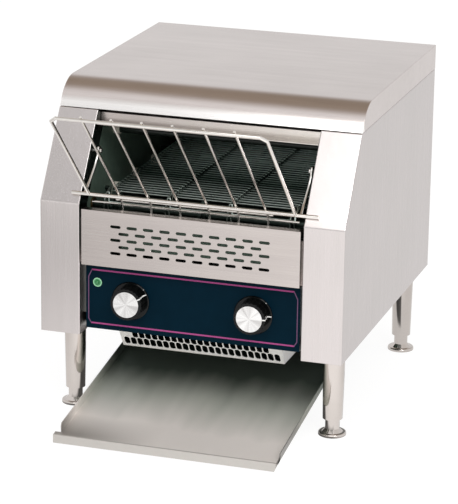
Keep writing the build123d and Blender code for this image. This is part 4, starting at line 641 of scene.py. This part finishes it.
past_sides = add(tree, "Math", {0: sides, 1: CORNER_SLACK}, operation="ADD").outputs[0]
level_run = add(tree, "Math", {0: above, 1: past_sides}, operation="GREATER_THAN").outputs[0]
width = add(tree, "Mix", {FACTOR: level_run, FLOAT_A: UPRIGHT_WIDTH, FLOAT_B: LINE_WIDTH},
            data_type="FLOAT").outputs[FLOAT_RESULT]
half = add(tree, "Math", {0: width, 1: 0.5}, operation="MULTIPLY").outputs[0]
distance = add(tree, "Math", {0: outside}, operation="ABSOLUTE").outputs[0]
line = add(tree, "Math", {0: distance, 1: half}, operation="LESS_THAN").outputs[0]
ink = add(tree, "Mix", {FACTOR: level_run, COLOUR_A: linear("#775474"), COLOUR_B: linear("#a54d82")},
          data_type="RGBA").outputs[COLOUR_RESULT]
mottle = add(tree, "TexNoise", {"Vector": place, "Scale": MOTTLE_SCALE, "Detail": 2.0}).outputs[0]
navy = add(tree, "Mix", {FACTOR: mottle, COLOUR_A: linear("#021a26"), COLOUR_B: linear("#041f2d")},
           data_type="RGBA").outputs[COLOUR_RESULT]
printed = add(tree, "Mix", {FACTOR: line, COLOUR_A: navy, COLOUR_B: ink},
              data_type="RGBA").outputs[COLOUR_RESULT]
# semi-matt polyester: deep blue that takes no glare from the lamp
shader = add(tree, "BsdfPrincipled", {
    "Base Color": printed,
    "Roughness": add(tree, "MapRange", {"Value": mottle, **ends("To", 0.34, 0.42)}).outputs[0],
    "Specular IOR Level": 0.03,
})
add(tree, "OutputMaterial", {"Surface": shader.outputs[0]})
finishes["film"] = material
print("line:", LINE_WIDTH / MM, "mm wide")

# %% [markdown]
# ## Spun caps
# The caps on the knobs are turned from aluminium, so the tool leaves rings round the middle. Rings scatter
# light along the radius only, which makes bright wedge-shaped sheens that turn as the eye moves. The rings
# are a wave texture in the relief. The sheens are a painted reflection, a noise in colour round the middle
# that stays put. Each cap gets its own finish, because both are centred on it.

# %% Spun aluminium
RING_PITCH = 0.35 * MM
RING_RELIEF = 0.25
RING_DEPTH = 0.02 * MM
WEDGES = 1.6
WEDGE_NOISE = (0.35, 0.6)


def spun(name, middle):
    """Aluminium with rings round an axis along Y: painted bright sheens of wedge shape on a fine, silky
    grain.
    """
    material, tree = blank(name)
    place = add(tree, "TexCoord").outputs["Object"]
    centred = add(tree, "Mapping", {"Vector": place, "Location": -middle}).outputs[0]
    rings = add(tree, "TexWave", {"Vector": centred, "Scale": 1 / (RING_PITCH * 20), "Distortion": 0.0},
                wave_type="RINGS", rings_direction="Y").outputs[1]
    flat = add(tree, "SeparateXYZ", {0: centred}).outputs
    turn = add(tree, "Math", {0: flat["Z"], 1: flat["X"]}, operation="ARCTAN2").outputs[0]
    # painted reflection: bright and dark sheens by the angle round the middle
    painted_sheen = add(tree, "TexNoise", {"W": turn, "Scale": WEDGES, "Detail": 1.0},
                 noise_dimensions="1D").outputs[0]
    painted_sheen = add(tree, "MapRange", {"Value": painted_sheen, **ends("From", *WEDGE_NOISE)}).outputs[0]
    bumps = add(tree, "Bump", {"Height": rings, "Strength": RING_RELIEF, "Distance": RING_DEPTH})
    shader = add(tree, "BsdfPrincipled", {
        "Base Color": add(tree, "Mix", {FACTOR: painted_sheen, COLOUR_A: linear("#c6c4c3"),
                                        COLOUR_B: linear("#e9e8e7")},
                          data_type="RGBA").outputs[COLOUR_RESULT],
        "Metallic": 1.0,
        "Roughness": add(tree, "MapRange", {"Value": rings, **ends("To", 0.22, 0.30)}).outputs[0],
        "Normal": bumps.outputs[0],
    })
    add(tree, "OutputMaterial", {"Surface": shader.outputs[0]})
    return material


for side in ("heat", "speed"):
    low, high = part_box(side + "_knob_cap")
    finishes[side + "_cap"] = spun("spun_aluminium_" + side, (low + high) / 2)
print("caps:", RING_PITCH / MM, "mm rings")

# %% [markdown]
# ## Finishes on the carried-over parts
# Each part of the frame whose shape is right keeps its mesh and gets its finish here. The brushing runs the
# way a folder would lay the sheet: up the sides, across the front and the cover, along the tray.

# %% Dress the frame
DRESS = {
    "cover": ["top_cover"],
    "header": ["header_strip"],
    "steel_across": ["slotted_front_panel"],
    "steel_upright": ["left_side_panel", "right_side_panel", "rear_panel"],
    "duct": ["air_duct"],
    "tray": ["toast_tray"],
    "chamber": ["return_chute", "left_inner_wall", "right_inner_wall", "chamber_floor"],
    "plated": ["base_rails", "base_pan", "bay_rear_wall", "control_panel", "motor_bracket",
               "tray_runners"],
    "film": ["control_overlay"],
    "ring": ["lamp_bezel"],
    "green": ["lamp_lens"],
    "black": ["heat_knob", "speed_knob"],
    "heat_cap": ["heat_knob_cap"],
    "speed_cap": ["speed_knob_cap"],
    "turned": ["heat_spindle", "speed_spindle", "drive_shaft", "motor_shaft", "drive_belt_sprockets",
               "driven_sprocket", "motor_sprocket"],
    "switch": ["heat_selector", "speed_controller", "fan_frame", "fan_rotor", "cable_gland"],
    "belt": ["conveyor_belt"],
    "shaded": ["belt_support_frame", "idler_shaft", "idler_belt_sprockets"],
    "bronze": ["shaft_bushes"],
    "quartz": ["heater_tubes"],
    "coil": ["heater_coils"],
    "ceramic": ["heater_end_caps", "terminal_block"],
    "reflector": ["upper_reflector", "lower_reflector"],
    "chain": ["drive_chain"],
    "paint": ["gear_motor", "thermal_cutout"],
    "wire": ["feed_rack", "rack_studs"],
    "leg": ["legs", "front_left_foot", "front_right_foot", "rear_left_foot", "rear_right_foot"],
    "zinc": ["leg_nuts", "rear_panel_screws"],
}
finish_of = {node: finishes[finish] for finish, names in DRESS.items() for node in names}
for node, finish in finish_of.items():
    mesh = frame["nodes"][node].data
    mesh.materials.clear()
    mesh.materials.append(finish)
print("still undressed:", sorted(set(frame["nodes"]) - set(finish_of)))

# %% [markdown]
# ## Pieces that stand for a carried-over part
# A new piece rides on the same body as the part it replaces and keeps the part's finish. The record
# knows both, so one helper looks them up and joins the piece to the frame.

# %% Joining a piece to the frame
home_of = {n: body for body, nodes in frame["record"]["behaviour"]["bodies"].items() for n in nodes}


def stand_for(piece, node):
    """The piece takes the node's place, body and finish."""
    piece.data.materials.clear()
    piece.data.materials.append(finish_of[node])
    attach(piece, home_of[node])
    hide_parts(node)


def only(piece):
    """The piece is selected alone and active."""
    bpy.ops.object.select_all(action="DESELECT")
    bpy.context.view_layer.objects.active = piece
    piece.select_set(True)


print("bodies:", len(set(home_of.values())))

# %% [markdown]
# ## A clean copy of a part
# A carried-over part is loose triangles, which is right for a frame but can't be bevelled or smoothed. So a
# copy is made, its doubled corners are merged, and triangles that lie flat beside each other are dissolved
# into one face. Then only real corners have edges, and those are what the next steps work on.

# %% A clean copy
WELD = 0.002 * MM
FLAT = math.radians(0.4)


def merged_copy(node, name, smooth=30):
    """A copy of a part, its triangles merged into flat faces."""
    piece = bpy.data.objects.new(name, frame["nodes"][node].data.copy())
    bpy.context.scene.collection.objects.link(piece)
    only(piece)
    bpy.ops.mesh.customdata_custom_splitnormals_clear()
    bpy.ops.object.mode_set(mode="EDIT")
    bpy.ops.mesh.select_all(action="SELECT")
    bpy.ops.mesh.remove_doubles(threshold=WELD)
    bpy.ops.mesh.dissolve_limited(angle_limit=FLAT)
    bpy.ops.object.mode_set(mode="OBJECT")
    bpy.ops.object.shade_smooth_by_angle(angle=math.radians(smooth))
    return piece


print("corners closer than", WELD / MM, "mm are merged")

# %% [markdown]
# ## Which edges are folds
# A press brake leaves a small round on every fold, and the shears leave edges that are eased by hand. An
# edge between two wide faces is a fold and gets the larger round, any other outer edge is a cut one. The
# mean width of a face, twice its area over its outline, tells a sheet's side from its thin edge. Inner
# corners stay sharp, because a round there hardly catches light.

# %% Fold weights
SHARP = math.radians(30)
SHEET_FACE = 2.2 * MM


def outline(mesh, face):
    """Length of a face's outline."""
    return sum((mesh.vertices[a].co - mesh.vertices[b].co).length for a, b in face.edge_keys)


def weigh_edges(mesh, share):
    """Bevel weights: 1 on folds, share on cut edges, 0 elsewhere."""
    faces_at = {}
    for face in mesh.polygons:
        round_trip = list(face.vertices)
        for start, end in zip(round_trip, round_trip[1:] + round_trip[:1]):
            faces_at.setdefault(frozenset((start, end)), []).append((face, start, end))
    width = {face.index: 2 * face.area / outline(mesh, face) for face in mesh.polygons}
    weights = mesh.attributes.new("bevel_weight_edge", "FLOAT", "EDGE").data
    folds = 0
    for edge in mesh.edges:
        sharing = faces_at.get(frozenset(edge.vertices), [])
        if len(sharing) != 2:
            continue
        (one, start, end), (other, _, _) = sharing
        along = mesh.vertices[end].co - mesh.vertices[start].co
        outer = one.normal.cross(other.normal).dot(along) > 0
        if not outer or one.normal.angle(other.normal) < SHARP:
            continue
        wide = all(width[f.index] > SHEET_FACE for f in (one, other))
        weights[edge.index].value = 1.0 if wide else share
        folds += wide
    return folds


print("folds turn more than", round(math.degrees(SHARP)), "degrees")

# %% [markdown]
# ## Folded sheet
# The rounds on folds and edges catch the light as thin bright lines, and a model without them looks like
# card. A Bevel modifier makes them all at once: its width is the fold's, and the weight on each edge says
# how much of it that edge gets. The folds of the side panels beside the mouth are marked for a painted
# shade.

# %% Folded sheet
EASED = 0.3 * MM
RETURN_PLACE = 137.5 * MM
SIDEWAYS = 0.7


def fold_sheet(node, name, fold, edge, segments=3):
    """A sheet part with rounded folds and eased cut edges."""
    piece = merged_copy(node, name)
    folds = weigh_edges(piece.data, edge / fold)
    bevel = piece.modifiers.new("eased", "BEVEL")
    bevel.limit_method, bevel.width, bevel.segments = "WEIGHT", fold, segments
    bevel.use_clamp_overlap, bevel.harden_normals = False, True
    bpy.ops.object.modifier_apply(modifier=bevel.name)
    stand_for(piece, node)
    print(name, "folds", folds, "faces", len(piece.data.polygons))
    return piece


def shade_faces(piece, inner):
    """Marks faces for a painted shade, where inner(centre, normal) holds."""
    marks = piece.data.attributes.new("shade", "FLOAT", "FACE").data
    for face in piece.data.polygons:
        marks[face.index].value = float(inner(face.center, face.normal))
    print(piece.name, sum(m.value > 0 for m in marks), "smoked faces")


for node, name, fold in (
    ("top_cover", "folded_top_cover", 1.0), ("left_side_panel", "folded_left_side", 1.4),
    ("right_side_panel", "folded_right_side", 1.4), ("header_strip", "folded_header", 1.0),
    ("rear_panel", "folded_rear_panel", 1.0), ("control_panel", "folded_control_panel", 1.0),
):
    piece = fold_sheet(node, name, fold * MM, EASED)
    if node.endswith("side_panel"):
        # painted shade on the side panels' folds into the mouth, above the slotted front
        shade_faces(piece, lambda c, n: abs(c.x) < RETURN_PLACE and n.x * c.x < 0 and abs(n.x) > SIDEWAYS)

# %% [markdown]
# ## Pierced sheet
# The slotted front, the perforated duct and the tray are folded too. Their holes are punched, which rolls
# the rim over a little on the punch's side, so the rims are eased with the same round as the cut edges. The
# faces that look into the duct are marked for a painted shade, so that its holes look dark.

# %% Pierced sheet and tray
RIM = 0.2 * MM

for node, name, fold in (
    ("slotted_front_panel", "folded_slotted_front", 1.0), ("air_duct", "folded_air_duct", 0.8),
    ("toast_tray", "folded_tray", 0.8),
):
    piece = fold_sheet(node, name, fold * MM, RIM, segments=2)
    if node == "air_duct":
        # painted shade on the faces that look into the duct
        middle = sum(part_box(node), Vector()) / 2
        shade_faces(piece, lambda c, n: n.dot(middle - c) > 0)
print("rims eased by", RIM / MM, "mm")

# %% [markdown]
# ## Round pieces
# Wires, legs and knobs come as faceted meshes. A merged copy with smooth shading shows them round, while
# the real corners stay sharp, because only edges flatter than the given angle are smoothed.

# %% Round pieces
for node, name, smooth in (
    ("feed_rack", "welded_wire_rack", 50), ("rack_studs", "riveted_rack_studs", 40),
    ("legs", "tapered_legs", 40), ("front_left_foot", "levelling_foot_front_left", 40),
    ("front_right_foot", "levelling_foot_front_right", 40),
    ("rear_left_foot", "levelling_foot_rear_left", 40),
    ("rear_right_foot", "levelling_foot_rear_right", 40),
):
    stand_for(merged_copy(node, name, smooth), node)
print("round pieces: smoothed")

# %% [markdown]
# ## Knobs
# The knob is pressed from phenolic powder. Its skirt and rim are rounded so that it leaves the mould, and
# those rounds carry the bright arcs of the lamp. A Bevel modifier that takes every edge over a set angle
# does that for the whole knob, flutes included.

# %% Knob bodies
KNOB_ROUND = 0.7 * MM
for side in ("heat", "speed"):
    piece = merged_copy(side + "_knob", side + "_knob_body", 30)
    bevel = piece.modifiers.new("rounded", "BEVEL")
    bevel.limit_method, bevel.angle_limit, bevel.width, bevel.segments = "ANGLE", SHARP, KNOB_ROUND, 3
    bevel.use_clamp_overlap, bevel.harden_normals = True, True
    bpy.ops.object.modifier_apply(modifier=bevel.name)
    stand_for(piece, side + "_knob")
    print(piece.name, len(piece.data.polygons), "faces")

# %% [markdown]
# ## Pointer lines
# The white line is paint in a groove: it starts at the cap, runs over the face, down the grip and out to
# the edge of the skirt, so that it can be read from above and from in front. An edge as long as the line is
# wide is extruded from corner to corner of that path, and Solidify gives the ribbon its thickness. It rides
# with its knob, so it shows the setting.

# %% Pointer lines
GRIP_FOOT_RADIUS = 17.5 * MM
GRIP_TOP_RADIUS = 19.0 * MM
SKIRT_RADIUS = 23.0 * MM
SKIRT_DEPTH = 2.5 * MM
SKIRT_RIM = 0.6 * MM
CAP_RADIUS = 15.7 * MM
POINTER_WIDTH = 1.3 * MM
POINTER_DEPTH = 0.7 * MM
PROUD = 0.15 * MM
POINTER_ANGLE = {"heat": math.radians(27), "speed": math.radians(2)}

for side, angle in POINTER_ANGLE.items():
    low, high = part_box(side + "_knob")
    middle = (low + high) / 2
    face, skirt = low.y - PROUD, high.y - SKIRT_DEPTH - PROUD
    run = [(CAP_RADIUS, face), (GRIP_TOP_RADIUS + PROUD, face), (GRIP_FOOT_RADIUS + PROUD, skirt),
           (SKIRT_RADIUS - SKIRT_RIM, skirt)]
    out = Vector((math.cos(angle), 0, math.sin(angle)))
    side_step = Vector((-math.sin(angle), 0, math.cos(angle))) * POINTER_WIDTH / 2
    points = [Vector((middle.x, y, middle.z)) + out * r for r, y in run]
    bpy.ops.object.select_all(action="DESELECT")
    bpy.ops.mesh.primitive_plane_add(size=POINTER_WIDTH)
    pointer = bpy.context.object
    pointer.name = side + "_pointer_line"
    corners = pointer.data.vertices
    corners[0].co, corners[1].co = points[0] - side_step, points[0] + side_step
    bpy.ops.object.mode_set(mode="EDIT")
    bpy.ops.mesh.select_all(action="DESELECT")
    bpy.ops.object.mode_set(mode="OBJECT")
    for index in (2, 3):
        corners[index].select = True
    bpy.ops.object.mode_set(mode="EDIT")
    bpy.ops.mesh.delete(type="VERT")
    bpy.ops.mesh.select_all(action="SELECT")
    for start, end in zip(points, points[1:]):
        bpy.ops.mesh.extrude_region_move(TRANSFORM_OT_translate={"value": end - start})
    bpy.ops.mesh.select_all(action="SELECT")
    bpy.ops.mesh.normals_make_consistent(inside=False)
    bpy.ops.object.mode_set(mode="OBJECT")
    wall = pointer.modifiers.new("paint", "SOLIDIFY")
    wall.thickness, wall.offset = POINTER_DEPTH, 0.0
    bpy.ops.object.modifier_apply(modifier=wall.name)
    pointer.data.materials.append(finishes["white_line"])
    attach(pointer, home_of[side + "_knob"])
    print(pointer.name, len(pointer.data.polygons), "faces")

# %% [markdown]
# ## Wire belt
# Each strand of the belt is one wire across the machine. At its ends and at four places it reaches forward
# and hooks over the next strand, which is what lets the belt bend round its sprockets. A strand could be
# swept as a mesh, but a curve with a round section needs only its corner points, and is then made a mesh.
# The section has few faces, because the strand is repeated many times.

# %% One strand
STRAND_RADIUS = 0.85 * MM
BELT_RADIUS = 18.0 * MM
BELT_PITCH = 9.5 * MM
HOOK_REACH = 1.4 * MM
HOOK_RISE = 1.7 * MM
HOOK_HALF = 2.6 * MM
HOOK_TIP_HALF = 1.5 * MM
HOOKS = 4
HOOK_INSET = 4.0 * MM

belt_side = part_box("conveyor_belt")[1].x
half = belt_side - STRAND_RADIUS
reach = belt_side - HOOK_INSET
hooks = [-reach + 2 * reach * number / (HOOKS - 1) for number in range(HOOKS)]
tip = BELT_PITCH + HOOK_REACH
route = [(-half, BELT_PITCH, 0), (-half, 0, 0)]
for x in hooks:
    inner = max(-half, x - HOOK_HALF), min(half, x + HOOK_HALF)
    route += [(inner[0], 0, 0), (x - HOOK_TIP_HALF, tip, HOOK_RISE),
              (x + HOOK_TIP_HALF, tip, HOOK_RISE), (inner[1], 0, 0)]
route += [(half, 0, 0), (half, BELT_PITCH, 0)]
curve = bpy.data.curves.new("strand", "CURVE")
curve.dimensions = "3D"
spline = curve.splines.new("POLY")
spline.points.add(len(route) - 1)
for point, place in zip(spline.points, route):
    point.co = (*place, 1)
curve.bevel_depth, curve.bevel_resolution, curve.use_fill_caps = STRAND_RADIUS, 1, True
strand = bpy.data.objects.new("strand", curve)
bpy.context.scene.collection.objects.link(strand)
only(strand)
bpy.ops.object.convert(target="MESH")
strand = bpy.context.object
bpy.ops.object.shade_smooth_by_angle(angle=math.radians(60))
print("strand:", len(strand.data.polygons), "faces")

# %% [markdown]
# ## The belt round its shafts
# The belt's centre line is two straight runs and two half turns. One function gives the place and the turn
# at any distance along it, and the strand is copied to every pitch. The last pitch has to meet the first,
# so the whole length is divided evenly. The copies are joined into one piece, which stands for the belt.

# %% The belt round its shafts
axles = []
for shaft in ("idler_shaft", "drive_shaft"):
    low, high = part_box(shaft)
    axles.append((low + high) / 2)
straight = axles[1].y - axles[0].y
bend = math.pi * BELT_RADIUS
whole = 2 * (straight + bend)


def on_belt(travel):
    """Place on the belt's centre line and the angle of its travel."""
    if travel < straight:
        return axles[0].y + travel, BELT_RADIUS, 0.0
    if travel < straight + bend:
        angle = (travel - straight) / BELT_RADIUS
        return axles[1].y + BELT_RADIUS * math.sin(angle), BELT_RADIUS * math.cos(angle), -angle
    if travel < 2 * straight + bend:
        return axles[1].y - (travel - straight - bend), -BELT_RADIUS, math.pi
    angle = (travel - 2 * straight - bend) / BELT_RADIUS
    return axles[0].y - BELT_RADIUS * math.sin(angle), -BELT_RADIUS * math.cos(angle), math.pi - angle


count = round(whole / BELT_PITCH)
strands = []
for index in range(count):
    y, rise, angle = on_belt(whole * index / count)
    copy = bpy.data.objects.new("strand_copy", strand.data.copy())
    copy.data.transform(Matrix.Translation((0, y, axles[0].z + rise)) @ Matrix.Rotation(angle, 4, "X"))
    bpy.context.scene.collection.objects.link(copy)
    strands.append(copy)
bpy.data.objects.remove(strand)
bpy.ops.object.select_all(action="DESELECT")
for piece in strands:
    piece.select_set(True)
bpy.context.view_layer.objects.active = strands[0]
bpy.ops.object.join()
belt = bpy.context.object
belt.name = "wire_belt"
stand_for(belt, "conveyor_belt")
print("belt:", count, "strands", len(belt.data.polygons), "faces")
